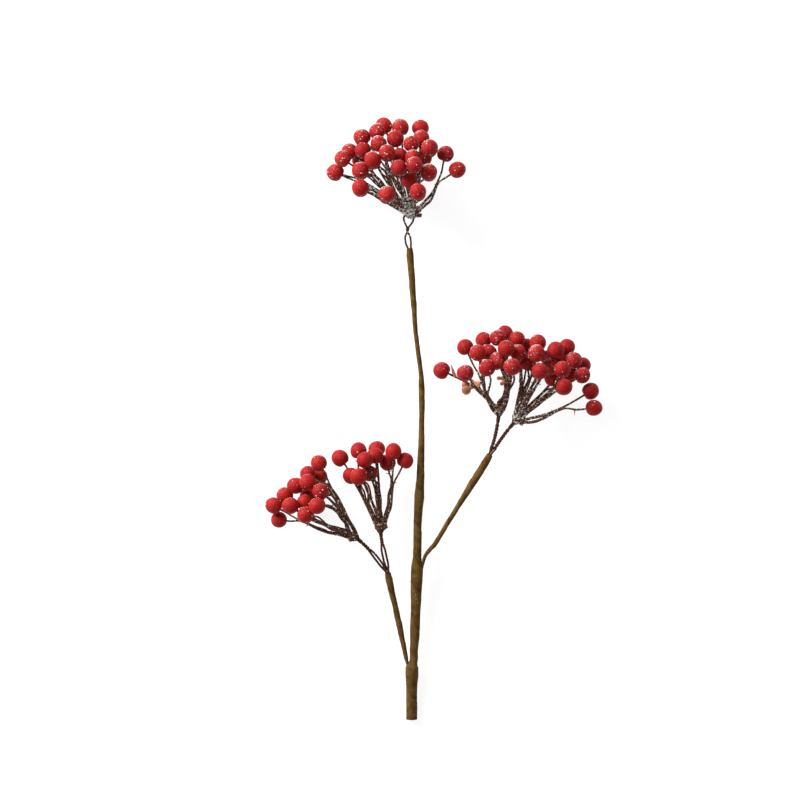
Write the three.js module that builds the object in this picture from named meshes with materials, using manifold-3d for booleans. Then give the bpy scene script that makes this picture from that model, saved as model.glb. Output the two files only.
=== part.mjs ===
// Frosted berry sprig: a tape-wrapped stem with two branches carries five wired bunches of red berries.
// Millimetres, +Z up. The sprig lies on its back, with X across it and Y along the stem towards the crown.
import * as THREE from "three";
import { mergeVertices } from "three/addons/utils/BufferGeometryUtils.js";
import Module from "manifold-3d";

const wasm = await Module();
wasm.setup();

// Driving dimensions
const BERRY_RADIUS = 5;
const TWIG_RADIUS = 1;
const STALK_RADIUS = 0.65;
const WIRE_RADIUS = 0.5;
const CORE_RADIUS = 0.6;
const GAP = 0.3;
const REST_DENT = 0.6; // how far the lowest berries and the cut end are pressed flat where they lie
const HOLE_OVERRUN = 2; // how far a cutting hole starts outside
const SOCKET_DEPTH = 10; // how far a binding wire runs into the tape

// Rules of the bunches
const TWIN_RISE = 15; // a berry this far in front of its tie has a twin as far behind it
const BERRIES_PER_TWIG = 3;
const TWIG_SPREAD = 22; // berries further apart than this don't share a twig
const FIRST_FORK = 0.42; // how far along its twig the first side stalk leaves
const FORK_STEP = 0.13; // how much further the next one leaves
const STALK_END = 0.45; // how far from a berry's middle its stalk ends, in berry radii
const ROOT_SPREAD = 1.6; // how much further round the knot a twig starts than it leans
const ROOT_DEPTH = 0.75; // how far from the tie's middle it starts, in half widths and lengths of the knot
const LIMB_SHARE = 0.6; // how far along its reach a twig leaves its limb at the latest
const TWIG_PITCH = 2; // between twigs that run side by side along a limb
const LIMB_WIDTH = 5; // between the outer twigs of a limb at most
const ROOT_SHARE = 0.6; // how far apart the roots of a limb's twigs stand, in shares of that

// Main stem: where its middle runs across and along the sprig, and its radius along it
const CUT_END = -180.8;
const STEM_TOP = 102.3;
const STEM_ROUTE = [
  [-13.2, CUT_END],
  [-13.2, -165],
  [-13.1, -155],
  [-13, -149.5],
  [-11.9, -145],
  [-11.8, -138],
  [-11.2, -126],
  [-10, -88],
  [-9.5, -60],
  [-8, -35],
  [-7.2, 0],
  [-7.5, 25],
  [-10.6, 50],
  [-12.2, 72],
  [-14.5, STEM_TOP],
];
const STEM_RADII = [
  [CUT_END, 3.25],
  [-161, 3.25],
  [-155, 3.8],
  [-149.5, 3.85],
  [-146.3, 2.45],
  [-140, 2.35],
  [-126, 2.95],
  [-118, 2.8],
  [-109, 3.05],
  [-97, 3.5],
  [-89, 3.5],
  [-83, 2.45],
  [-63, 2.35],
  [-53, 2.6],
  [-46, 2.9],
  [-39, 2.45],
  [-25, 2.05],
  [0, 1.5],
  [12, 1.75],
  [20, 1.7],
  [27, 1.3],
  [55, 1.3],
  [64, 1.45],
  [71, 1.7],
  [89, 1.9],
  [STEM_TOP, 2.1],
];
const CORE_TOP = 80;

// Branches: the route of each across and along the sprig from its hidden root, how high its mouth stands,
// and its radius along the sprig
const RIGHT_BRANCH = {
  route: [
    [-8.05, -99], [-7.4, -92], [-6.2, -86.4], [-5.6, -83.5], [-4, -80.5], [-1.5, -77.6],
    [1.1, -74.7], [6.5, -65.7], [19.2, -45], [29.9, -28], [33.6, -21.6],
  ],
  mouthHeight: 24.3,
  radii: [
    [-99, 0.7], [-88, 0.7], [-84, 0.95], [-76, 1.3], [-66, 1.3],
    [-52, 1.45], [-46, 1.8], [-38, 2.25], [-21.6, 2.2],
  ],
};
const LEFT_BRANCH = {
  route: [
    [-15.4, -156], [-15.6, -149], [-16.9, -142], [-18.6, -134],
    [-21.7, -119], [-26.2, -99.5], [-27.5, -92.7],
  ],
  mouthHeight: 16.5,
  radii: [
    [-156, 0.7], [-148, 0.7], [-143.5, 1.2], [-134, 1.5], [-126, 1.75],
    [-118, 1.75], [-112, 1.6], [-99.5, 2], [-92.7, 2.15],
  ],
};

// Bunches: the tie's place across and along the sprig, the half width and half length of its folded knot,
// where its limbs fork across and along from the tie, and where each berry that faces front sits across,
// along and in front of the tie
const CROWN = {
  name: "crown_head",
  tie: [-14, 123.9],
  knot: [5, 3.5],
  limbs: [
    [-20.5, 10.9], [-20, 16], [-14.5, 17.5], [-9, 17],
    [-5, 18], [2, 16], [5, 16], [15, 15.8],
  ],
  berries: [
    [-45, 24, 3], [-40.5, 32, 10], [-36.5, 36.5, 2], [-28.5, 37, 11], [-30, 31.5, -6], [-30, 25, 17],
    [-22.5, 31, 21], [-29, 45, 1], [-20, 48.5, 2], [-16, 52, -8], [-19, 41, 11], [-14, 35.5, 19],
    [-6, 51, -3], [-9, 44, 6], [-6.5, 33.5, 9], [6, 51, -10], [6.5, 44.5, -1], [0.5, 41, 10],
    [-7, 26.5, 24], [2.5, 28, 26], [1.5, 32.5, 16], [-30, 14.5, 24], [-14, 10.5, 29], [-0.5, 19, 14],
    [8, 32.5, 4], [11.5, 38.5, 15], [21, 35, 6], [28, 25.5, 8], [11, 24, 18], [4.5, 12, 28],
  ],
};
const RIGHT_INNER = {
  name: "right_inner_head",
  tie: [39.4, 5.7],
  knot: [3.3, 3.6],
  limbs: [[-11.2, 12.8], [5.5, 17.2]],
  berries: [
    [-34.5, 23.5, 4], [-20.5, 22, 16], [-20.5, 37.5, 2], [-9.5, 42, -4], [-13, 34, 12], [-6.5, 34, 2],
    [-7.5, 25, 18], [-1, 29, 10], [-1, 43, 1], [3.5, 45.5, -9], [4, 36.5, 16], [7.5, 25.5, 22],
  ],
};
const RIGHT_OUTER = {
  name: "right_outer_head",
  tie: [50.5, 0.3],
  knot: [3.4, 3.3],
  limbs: [[2.4, 24], [9, 21], [17, 14.5], [21.7, 4.4]],
  berries: [
    [-0.5, 47.5, -2], [0, 39.5, 7], [5.5, 43, -9], [12, 45.5, 2], [11, 39, 12], [6, 33.5, 0],
    [13, 28.5, 24], [22.5, 41, 8], [29.5, 43, -2], [33.5, 35, 7], [26.5, 29.5, 17], [19.5, 31, 5],
    [21, 24.5, -4], [27.5, 19, 22], [38.5, 26, 8], [39, 32, -2], [43.5, 16.5, 4], [45.5, 6.5, 8],
    [31, 26.5, -5], [18.5, 36.5, -3.5], [25.5, 36, -10],
  ],
};
const LEFT_LOW = {
  name: "left_low_head",
  tie: [-48.4, -69.9],
  knot: [3.2, 3.7],
  limbs: [[-13.3, 24.4], [-23.2, 7.6]],
  berries: [
    [-20.5, 43.5, 6], [-27, 37, -1], [-27, 32, 12], [-20.5, 35.5, -9], [-34.5, 30, 5], [-41, 24, -2],
    [-37.5, 18, 13], [-47.5, 18, 3], [-44.5, 9.5, -3], [-29, 20, 8], [-28.5, 12.5, 17], [-21.5, 18, 22],
    [-19.5, 26.5, 16], [-27, 23.5, -2],
  ],
};
const LEFT_HIGH = {
  name: "left_high_head",
  tie: [-32.2, -64.5],
  knot: [3.4, 3.7],
  limbs: [[-10.6, 22.2], [-1.2, 19], [6.3, 21.6]],
  berries: [
    [-24, 41, 3], [-13, 45.5, 0], [-2, 46.5, -6], [8, 45, 7], [15, 39.5, 3], [-9, 40, 13],
    [-3, 42.5, 4], [4.5, 38.5, -2], [-17.5, 30.5, 5], [-13, 30, 15], [-6.5, 32, 6],
  ],
};

// Binding wires: each is bent to a hairpin whose loop sits in its bunch's knot. bend is where it turns on
// its way from the mouth of the tape, eye the half width and length of its loop, mouthSide and mouthTurn
// where its legs stand in the mouth, apart how far they stand off their middle there and on the way, and
// twist their half turns and the shares of the way between which they make them
const LEG_APART = 0.65; // in a mouth that holds two wires
const TWISTED_APART = 0.72;
const SPREAD_END = 0.3; // the share of the way by which the legs have left the mouth's pattern
const DRAW_IN = [-0.15, 0.1]; // where the legs close up, in shares of the way from where the twist starts
const EYE_TOP = 0.06; // how far past the tie the loop reaches, in its own lengths
const EYE_HALF = [[1, -0.55], [0.92, -0.18], [0.45, EYE_TOP]]; // half a loop, in half widths and lengths
const LEG_POINTS = 15;
const CROWN_WIRE = {
  name: "crown_wire",
  bend: [-17.2, 112.5],
  eye: [2.8, 9],
  mouthSide: 0,
  mouthTurn: 0,
  apart: [0.9, 1.6],
  twist: { halfTurns: 1, from: 0.66, to: 0.98 },
};
const RIGHT_INNER_WIRE = {
  name: "right_inner_wire",
  bend: [37.6, -12],
  eye: [1.7, 4],
  mouthSide: -LEG_APART,
  mouthTurn: 0.5,
  apart: [LEG_APART, 0.7],
  twist: { halfTurns: 5, from: 0.1, to: 0.95 },
};
const RIGHT_OUTER_WIRE = {
  name: "right_outer_wire",
  bend: [41.5, -9],
  eye: [1.7, 4],
  mouthSide: LEG_APART,
  mouthTurn: 0.5,
  apart: [LEG_APART, 0.7],
  twist: { halfTurns: 5, from: 0.1, to: 0.95 },
};
const LEFT_LOW_WIRE = {
  name: "left_low_wire",
  bend: [-36.5, -78.5],
  eye: [1.7, 4],
  mouthSide: -LEG_APART,
  mouthTurn: 0.5,
  apart: [LEG_APART, 1.1],
  twist: { halfTurns: 2, from: 0.58, to: 0.95 },
};
const LEFT_HIGH_WIRE = {
  name: "left_high_wire",
  bend: [-31, -79],
  eye: [1.7, 4],
  mouthSide: LEG_APART,
  mouthTurn: 0.5,
  apart: [LEG_APART, 1.1],
  twist: { halfTurns: 2, from: 0.58, to: 0.95 },
};

// How finely each kind of piece is faceted
const SIDES = { stem: 8, core: 5, branch: 7, wire: 4, hole: 8, twig: 3, berry: 8, knot: 10 };
const STEPS = { stem: 36, core: 18, bore: 20, branch: 14, wire: 42, twig: 3, berry: 5, knot: 6 };

const RIGHT_HEADS = [RIGHT_INNER, RIGHT_OUTER];
const UP = new THREE.Vector3(0, 0, 1);
const ALONG = new THREE.Vector3(0, 1, 0);
const QUARTER = Math.PI / 2;
const BERRY_FACE = new THREE.Vector3().setFromSphericalCoords(1, QUARTER, Math.PI / SIDES.berry - QUARTER);
const SAME_POINT = 1e-4; // vertices this close are one

// Solids
function solidOf(geometry) {
  const bare = geometry.clone();
  bare.deleteAttribute("normal");
  bare.deleteAttribute("uv");
  const merged = mergeVertices(bare, SAME_POINT);
  const vertProperties = new Float32Array(merged.attributes.position.array);
  const triVerts = new Uint32Array(merged.index.array);
  return new wasm.Manifold(new wasm.Mesh({ numProp: 3, vertProperties, triVerts }));
}

function geometryOf(solid) {
  const mesh = solid.getMesh();
  const geometry = new THREE.BufferGeometry();
  geometry.setAttribute("position", new THREE.BufferAttribute(mesh.vertProperties, 3));
  geometry.setIndex(new THREE.BufferAttribute(mesh.triVerts, 1));
  geometry.computeVertexNormals();
  return geometry;
}

function joined(solids) {
  return solids.reduce((whole, solid) => whole.add(solid));
}

// The largest body alone: pockets that joining has sealed are filled and loose scraps dropped
function wholeBody(solid) {
  const bodies = solid.decompose();
  return bodies.sort((a, b) => b.volume() - a.volume())[0];
}

// A straight line between the pairs of [position, value] in a list
function valueAt(pairs, position) {
  const next = pairs.findIndex(([start]) => start >= position);
  if (next < 1) return next === 0 ? pairs[0][1] : pairs.at(-1)[1];
  const [start, first] = pairs[next - 1];
  const [end, second] = pairs[next];
  return THREE.MathUtils.mapLinear(position, start, end, first, second);
}

// A unit cylinder bent along a curve, with its own radius at each share of the way
function limb(curve, radiusAt, sides, steps) {
  const geometry = new THREE.CylinderGeometry(1, 1, 1, sides, steps);
  const places = geometry.attributes.position;
  for (let i = 0; i < places.count; i++) {
    const share = THREE.MathUtils.clamp(places.getY(i) + 0.5, 0, 1);
    const middle = curve.getPointAt(share);
    const ahead = curve.getTangentAt(share);
    const side = ahead.clone().cross(UP).normalize();
    const top = side.clone().cross(ahead);
    const radius = radiusAt(share, middle);
    middle.addScaledVector(side, places.getX(i) * radius);
    middle.addScaledVector(top, places.getZ(i) * radius);
    places.setXYZ(i, middle.x, middle.y, middle.z);
  }
  return solidOf(geometry);
}

// What lies below the surface is pressed flat
const SURFACE_SIDE = 500;
const SURFACE_DEPTH = 40;
const surfaceBox = new THREE.BoxGeometry(SURFACE_SIDE, SURFACE_SIDE, SURFACE_DEPTH);
const WORK_SURFACE = solidOf(surfaceBox.translate(0, 0, -SURFACE_DEPTH / 2));

// Places
function berriesOf(head) {
  const twins = head.berries.filter((berry) => berry[2] >= TWIN_RISE);
  const behind = twins.map(([across, along, rise]) => [across, along, -rise]);
  return [...head.berries, ...behind].map((berry) => new THREE.Vector3(...berry));
}

function restHeight(heads) {
  const lowest = Math.min(...heads.flatMap(berriesOf).map((berry) => berry.z));
  return BERRY_RADIUS - REST_DENT - lowest;
}

function tieOf(head) {
  const level = RIGHT_HEADS.includes(head) ? RIGHT_HEADS : [head];
  return new THREE.Vector3(...head.tie, restHeight(level));
}

// The stem rises in a straight line from its cut end on the surface to the crown's tie
const CROWN_TIE = tieOf(CROWN);
const CUT_END_HEIGHT = STEM_RADII[0][1] - REST_DENT;
const stemHeight = (along) =>
  THREE.MathUtils.mapLinear(along, CUT_END, CROWN_TIE.y, CUT_END_HEIGHT, CROWN_TIE.z);

// Main stem and its core
const stemPoints = STEM_ROUTE.map(([across, along]) => new THREE.Vector3(across, along, stemHeight(along)));
const stemCurve = new THREE.CatmullRomCurve3(stemPoints, false, "catmullrom", 0.5);
const stemRadius = (share, middle) => valueAt(STEM_RADII, middle.y);
const stemBody = limb(stemCurve, stemRadius, SIDES.stem, STEPS.stem);

const corePoints = stemCurve.getSpacedPoints(STEPS.stem).filter((point) => point.y < CORE_TOP);
const coreCurve = new THREE.CatmullRomCurve3(corePoints);
const stemCore = limb(coreCurve, () => CORE_RADIUS, SIDES.core, STEPS.core);
const pastTheCut = corePoints[0].clone().multiplyScalar(2).sub(corePoints[1]);
const pastTheCore = corePoints.at(-1).clone().multiplyScalar(2).sub(corePoints.at(-2));
const boreCurve = new THREE.CatmullRomCurve3([pastTheCut, ...corePoints, pastTheCore]);
const stemBore = limb(boreCurve, () => CORE_RADIUS + GAP, SIDES.core, STEPS.bore);

// Branches
function branchCurve(branch) {
  const [rootAlong, mouthAlong] = [branch.route[0][1], branch.route.at(-1)[1]];
  const points = branch.route.map(([across, along]) => {
    const way = (along - rootAlong) / (mouthAlong - rootAlong);
    const height = THREE.MathUtils.lerp(stemHeight(rootAlong), branch.mouthHeight, way);
    return new THREE.Vector3(across, along, height);
  });
  return new THREE.CatmullRomCurve3(points, false, "catmullrom", 0.5);
}

function branchSolid(branch, extra) {
  const radiusAt = (share, middle) => valueAt(branch.radii, middle.y) + extra;
  return limb(branchCurve(branch), radiusAt, SIDES.branch, STEPS.branch);
}

// Binding wires
function wireCurve(wire, mouthCurve, head) {
  const mouth = mouthCurve.getPointAt(1);
  const out = mouthCurve.getTangentAt(1);
  const mouthSide = out.clone().cross(UP).normalize();
  const start = mouth.clone().addScaledVector(mouthSide, wire.mouthSide);
  const tie = tieOf(head);
  const bend = new THREE.Vector3(...wire.bend, (start.z + tie.z) / 2);
  const middle = new THREE.QuadraticBezierCurve3(start, bend, tie);
  const [eyeHalf, eyeLength] = wire.eye;
  const legShare = 1 - eyeLength / middle.getLength();
  const { smoothstep, lerp } = THREE.MathUtils;

  const legPoint = (share, leg) => {
    const { halfTurns, from, to } = wire.twist;
    const leaving = smoothstep(share, 0, SPREAD_END);
    const turn = lerp(wire.mouthTurn, 0, leaving) + halfTurns * smoothstep(share, from, to);
    const spreadOut = lerp(wire.apart[0], wire.apart[1], leaving);
    const closing = smoothstep(share, from + DRAW_IN[0], from + DRAW_IN[1]);
    const apart = lerp(spreadOut, TWISTED_APART, closing);
    const ahead = middle.getTangentAt(share * legShare);
    const side = ahead.clone().cross(UP).normalize();
    const top = side.clone().cross(ahead);
    const point = middle.getPointAt(share * legShare);
    point.addScaledVector(side, leg * apart * Math.cos(turn * Math.PI));
    return point.addScaledVector(top, leg * apart * Math.sin(turn * Math.PI));
  };

  const shares = Array.from({ length: LEG_POINTS }, (_, i) => i / (LEG_POINTS - 1));
  const legOf = (leg) => {
    const points = shares.map((share) => legPoint(share, leg));
    return [points[0].clone().addScaledVector(out, -SOCKET_DEPTH), ...points];
  };

  // The loop opens below the tie, crosses it and comes back on the other side
  const ahead = middle.getTangentAt(1);
  const side = ahead.clone().cross(UP).normalize();
  const firstSide = Math.sign(Math.cos(wire.twist.halfTurns * Math.PI));
  const loop = [...EYE_HALF, ...EYE_HALF.map(([across, along]) => [-across, along]).reverse()];
  const eye = loop.map(([across, along]) => {
    const point = tie.clone().addScaledVector(side, across * eyeHalf * firstSide);
    return point.addScaledVector(ahead, along * eyeLength);
  });
  return { curve: new THREE.CatmullRomCurve3([...legOf(1), ...eye, ...legOf(-1).reverse()]), ahead };
}

function wireSolid(curve) {
  return limb(curve, () => WIRE_RADIUS, SIDES.wire, STEPS.wire);
}

// A plain hole from a point outside to a point inside
function holeSolid(outside, inside, radius) {
  return limb(new THREE.LineCurve3(outside, inside), () => radius, SIDES.hole, 1);
}

function mouthHole(curve, reach) {
  const mouth = curve.getPointAt(1);
  const out = curve.getTangentAt(1);
  const outside = mouth.clone().addScaledVector(out, HOLE_OVERRUN);
  const inside = mouth.clone().addScaledVector(out, -SOCKET_DEPTH - GAP);
  return holeSolid(outside, inside, reach + WIRE_RADIUS + GAP);
}

// Bunches: the outermost berry left and its nearest neighbours share a forked twig
function twigGroups(berries) {
  const remaining = [...berries].sort((a, b) => b.length() - a.length());
  const groups = [];
  while (remaining.length) {
    const tip = remaining.shift();
    const near = remaining.filter((berry) => berry.distanceTo(tip) < TWIG_SPREAD);
    near.sort((a, b) => a.distanceTo(tip) - b.distanceTo(tip));
    const group = [tip, ...near.slice(0, BERRIES_PER_TWIG - 1)];
    group.slice(1).forEach((berry) => remaining.splice(remaining.indexOf(berry), 1));
    groups.push(group);
  }
  return groups;
}

// A stalk ends inside its berry, which turns one of its faces square to it
function fruitSolids(berry, stalk, radiusAt, steps) {
  const fruit = new THREE.SphereGeometry(BERRY_RADIUS, SIDES.berry, STEPS.berry);
  const arrives = stalk.getTangentAt(1).negate();
  fruit.applyQuaternion(new THREE.Quaternion().setFromUnitVectors(BERRY_FACE, arrives));
  fruit.translate(berry.x, berry.y, berry.z);
  return [limb(stalk, radiusAt, SIDES.twig, steps), solidOf(fruit)];
}

// Each berry belongs to the limb whose direction is nearest to its own, and a limb's twigs lie side by side
function limbTwigs(head) {
  const berries = berriesOf(head);
  const limbs = head.limbs.map((fork) => new THREE.Vector2(...fork));
  const turnTo = (berry, limb) => new THREE.Vector2(berry.x, berry.y).angleTo(limb);
  const limbOf = (berry) => [...limbs].sort((a, b) => turnTo(berry, a) - turnTo(berry, b))[0];
  return limbs.flatMap((limb) => {
    const leftOf = ([tip]) => limb.cross(tip) / tip.length();
    const groups = twigGroups(berries.filter((berry) => limbOf(berry) === limb));
    groups.sort((a, b) => leftOf(a) - leftOf(b));
    const gaps = groups.length - 1;
    const pitch = Math.min(TWIG_PITCH, LIMB_WIDTH / gaps);
    return groups.map((group, order) => ({ group, limb, lane: (order - gaps / 2) * pitch }));
  });
}

// Where a twig leaves its limb: a twig that stands up from the sprig takes the straighter way
function forkPoint(tip, limb, lane) {
  const share = Math.min(1, (LIMB_SHARE * tip.length()) / limb.length());
  const aside = new THREE.Vector2(-limb.y, limb.x).setLength(lane);
  const spot = limb.clone().multiplyScalar(share).add(aside);
  const halfway = tip.clone().multiplyScalar(0.5);
  return new THREE.Vector3(spot.x, spot.y, halfway.z).lerp(halfway, (tip.z / tip.length()) ** 2);
}

// The twig itself runs to the outermost berry, and the stalks of the others leave it one after another
function twigSolids({ group, limb, lane }, tie, ahead, [knotWide, knotLong]) {
  const [tip, ...others] = group.map((berry) => berry.clone().add(tie));
  const fork = forkPoint(group[0], limb, lane);
  const way = fork.clone().normalize();
  const forward = way.dot(ahead);
  const lean = way.addScaledVector(ahead, -forward).multiplyScalar(ROOT_SPREAD).clampLength(0, 1);
  const upright = Math.sqrt(Math.max(0, 1 - lean.lengthSq()));
  const root = new THREE.Vector3(-limb.y, limb.x, 0).setLength(lane * ROOT_SHARE).add(tie);
  root.addScaledVector(lean, knotWide * ROOT_DEPTH);
  root.addScaledVector(ahead, knotLong * ROOT_DEPTH * upright);
  const bend = fork.clone().add(tie).multiplyScalar(2).sub(root.clone().add(tip).multiplyScalar(0.5));
  const end = tip.clone().add(bend.clone().sub(tip).setLength(STALK_END * BERRY_RADIUS));
  const twig = new THREE.QuadraticBezierCurve3(root, bend, end);
  const twigRadius = (share) => THREE.MathUtils.lerp(TWIG_RADIUS, STALK_RADIUS, share);
  const sides = others.flatMap((berry, order) => {
    const leaves = twig.getPointAt(FIRST_FORK + order * FORK_STEP);
    const sunk = berry.clone().add(leaves.clone().sub(berry).setLength(STALK_END * BERRY_RADIUS));
    return fruitSolids(berry, new THREE.LineCurve3(leaves, sunk), () => STALK_RADIUS, 1);
  });
  return [...fruitSolids(tip, twig, twigRadius, STEPS.twig), ...sides];
}

function headSolid(head, ahead, wire) {
  const tie = tieOf(head);
  const [knotWide, knotLong] = head.knot;
  const knot = new THREE.SphereGeometry(1, SIDES.knot, STEPS.knot).scale(knotWide, knotLong, knotWide);
  knot.applyQuaternion(new THREE.Quaternion().setFromUnitVectors(ALONG, ahead));
  knot.translate(tie.x, tie.y, tie.z);
  const twigs = limbTwigs(head).flatMap((twig) => twigSolids(twig, tie, ahead, head.knot));
  const bunch = wholeBody(joined([solidOf(knot), ...twigs]));
  const outside = tie.clone().addScaledVector(ahead, -knotLong - HOLE_OVERRUN);
  const inside = tie.clone().addScaledVector(ahead, EYE_TOP * wire.eye[1] + WIRE_RADIUS + GAP);
  const pocket = holeSolid(outside, inside, wire.eye[0] + WIRE_RADIUS + GAP);
  return wholeBody(bunch.subtract(pocket).subtract(WORK_SURFACE));
}

// Materials
const TAPE = new THREE.MeshStandardMaterial({ color: 0x6b4b22, roughness: 0.6, metalness: 0 });
const WIRE = new THREE.MeshStandardMaterial({ color: 0x46281e, roughness: 0.7, metalness: 0 });
const STEEL = new THREE.MeshStandardMaterial({ color: 0x9a9a98, roughness: 0.4, metalness: 1 });
const BERRY = new THREE.MeshStandardMaterial({ color: 0xb42326, roughness: 0.55, metalness: 0 });

// Assembly
const sprig = new THREE.Group();

function place(name, solid, material) {
  const mesh = new THREE.Mesh(geometryOf(solid), material);
  mesh.name = name;
  sprig.add(mesh);
}

const rightCurve = branchCurve(RIGHT_BRANCH);
const leftCurve = branchCurve(LEFT_BRANCH);
const LINKS = [
  { wire: CROWN_WIRE, head: CROWN, mouth: stemCurve },
  { wire: RIGHT_INNER_WIRE, head: RIGHT_INNER, mouth: rightCurve },
  { wire: RIGHT_OUTER_WIRE, head: RIGHT_OUTER, mouth: rightCurve },
  { wire: LEFT_LOW_WIRE, head: LEFT_LOW, mouth: leftCurve },
  { wire: LEFT_HIGH_WIRE, head: LEFT_HIGH, mouth: leftCurve },
];
for (const { wire, head, mouth } of LINKS) {
  const { curve, ahead } = wireCurve(wire, mouth, head);
  place(wire.name, wireSolid(curve), WIRE);
  place(head.name, headSolid(head, ahead, wire), BERRY);
}

const fourLegs = Math.hypot(LEG_APART, LEG_APART);
const forks = [branchSolid(RIGHT_BRANCH, GAP), branchSolid(LEFT_BRANCH, GAP)];
const stemCuts = [stemBore, mouthHole(stemCurve, CROWN_WIRE.apart[0]), ...forks, WORK_SURFACE];
place("main_stem", stemBody.subtract(joined(stemCuts)), TAPE);
place("stem_core", stemCore, STEEL);
place("right_branch", branchSolid(RIGHT_BRANCH, 0).subtract(mouthHole(rightCurve, fourLegs)), TAPE);
place("left_branch", branchSolid(LEFT_BRANCH, 0).subtract(mouthHole(leftCurve, fourLegs)), TAPE);

export default sprig;
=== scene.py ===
# %% [markdown]
# # Frosted berry sprig
# This lesson dresses a decorative sprig: five bunches of red berries on dark forked twigs, wired to a stem
# that is wound with paper tape. The construction model gives every place and size, so each step reads them
# from the frame, or repeats a route that the construction uses, and only makes the surface finer.

# %% Load the frame
import math

import bmesh
import bpy
import numpy as np
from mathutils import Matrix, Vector
from mathutils.kdtree import KDTree


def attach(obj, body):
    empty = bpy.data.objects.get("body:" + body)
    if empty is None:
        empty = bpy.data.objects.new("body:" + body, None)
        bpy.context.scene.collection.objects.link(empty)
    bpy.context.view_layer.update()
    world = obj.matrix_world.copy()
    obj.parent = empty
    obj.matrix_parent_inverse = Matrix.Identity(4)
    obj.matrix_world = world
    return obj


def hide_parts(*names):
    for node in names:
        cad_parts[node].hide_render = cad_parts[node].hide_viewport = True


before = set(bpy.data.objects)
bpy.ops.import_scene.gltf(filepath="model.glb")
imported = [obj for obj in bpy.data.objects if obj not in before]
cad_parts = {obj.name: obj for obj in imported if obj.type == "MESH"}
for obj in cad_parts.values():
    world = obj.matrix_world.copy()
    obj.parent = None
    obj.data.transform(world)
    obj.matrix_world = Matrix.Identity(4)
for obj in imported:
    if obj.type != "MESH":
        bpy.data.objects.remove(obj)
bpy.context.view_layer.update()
MM = 0.001
UP = np.array((0.0, 0.0, 1.0))

# %% [markdown]
# ## Camera and light
# The sprig lies on its back on a pale surface, so the camera looks straight down. A long lens far away keeps
# the bunches that stand up from the surface from looking larger than the stem. One large soft light stands
# low at the upper left, so that the round stem has a lit and a dark side, and a white sky fills in the rest.

# %% Camera
PICTURE_SIDE = 800
PIXEL_SIZE = 0.6 * MM
PICTURE_MIDDLE = (-20.25 * MM, 11.5 * MM)
LENS = 500.0
SENSOR = 36.0
SHARP_HEIGHT = 30 * MM

camera_data = bpy.data.cameras.new("camera")
camera_data.lens = LENS
camera_data.sensor_width = SENSOR
camera = bpy.data.objects.new("camera", camera_data)
camera_distance = PICTURE_SIDE * PIXEL_SIZE * LENS / SENSOR
camera.location = (*PICTURE_MIDDLE, SHARP_HEIGHT + camera_distance)
bpy.context.scene.collection.objects.link(camera)
bpy.context.scene.camera = camera
print("camera", round(camera_distance, 3), "m above the sprig")

# %% Light
WHITE = (1, 1, 1, 1)
SKY_STRENGTH = 0.38
KEY_POWER = 119.0
KEY_SIDE = 1.5
KEY_PLACE = (-1.65, 1.55, 1.15)

bpy.context.scene.view_settings.view_transform = "Standard"
world = bpy.data.worlds.new("studio")
bpy.context.scene.world = world
world.use_nodes = True
sky = world.node_tree.nodes["Background"]
sky.inputs["Color"].default_value = WHITE
sky.inputs["Strength"].default_value = SKY_STRENGTH


def soft_light(name, place, side, power):
    """A square area light that faces the middle of the sprig."""
    data = bpy.data.lights.new(name, "AREA")
    data.size = side
    data.energy = power
    light = bpy.data.objects.new(name, data)
    light.location = place
    light.rotation_mode = "QUATERNION"
    light.rotation_quaternion = (Vector((0, 0, 0)) - Vector(place)).to_track_quat("-Z", "Y")
    bpy.context.scene.collection.objects.link(light)


soft_light("key_light", KEY_PLACE, KEY_SIDE, KEY_POWER)
print("key light of", KEY_POWER, "W and a sky of", SKY_STRENGTH)

# %% [markdown]
# ## Sums of nodes
# Shader and geometry trees are both made of sockets. Wrapping a socket in a small class lets a formula be
# written as a formula: each operator adds the Math node for it. Any other node comes from one method, which
# takes the node's type, what goes into its sockets and its settings.

# %% A socket that can be used in sums


class Value:
    """One output of a node."""

    def __init__(self, nodes, socket):
        self.nodes = nodes
        self.socket = socket

    def math(self, operation, *others):
        return self.nodes.add("ShaderNodeMath", dict(enumerate((self, *others))), operation=operation)

    def __add__(self, other):
        return self.math("ADD", other)

    def __sub__(self, other):
        return self.math("SUBTRACT", other)

    def __rsub__(self, other):
        return self.nodes.add("ShaderNodeMath", {0: other, 1: self}, operation="SUBTRACT")

    def __mul__(self, other):
        return self.math("MULTIPLY", other)

    def __truediv__(self, other):
        return self.math("DIVIDE", other)

    def __pow__(self, other):
        return self.math("POWER", other)

    __radd__ = __add__
    __rmul__ = __mul__

    def between(self, low, high):
        """0 at low and 1 at high, with a smooth way from one to the other."""
        sockets = {"Value": self, "From Min": low, "From Max": high}
        return self.nodes.add("ShaderNodeMapRange", sockets, interpolation_type="SMOOTHSTEP")


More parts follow.
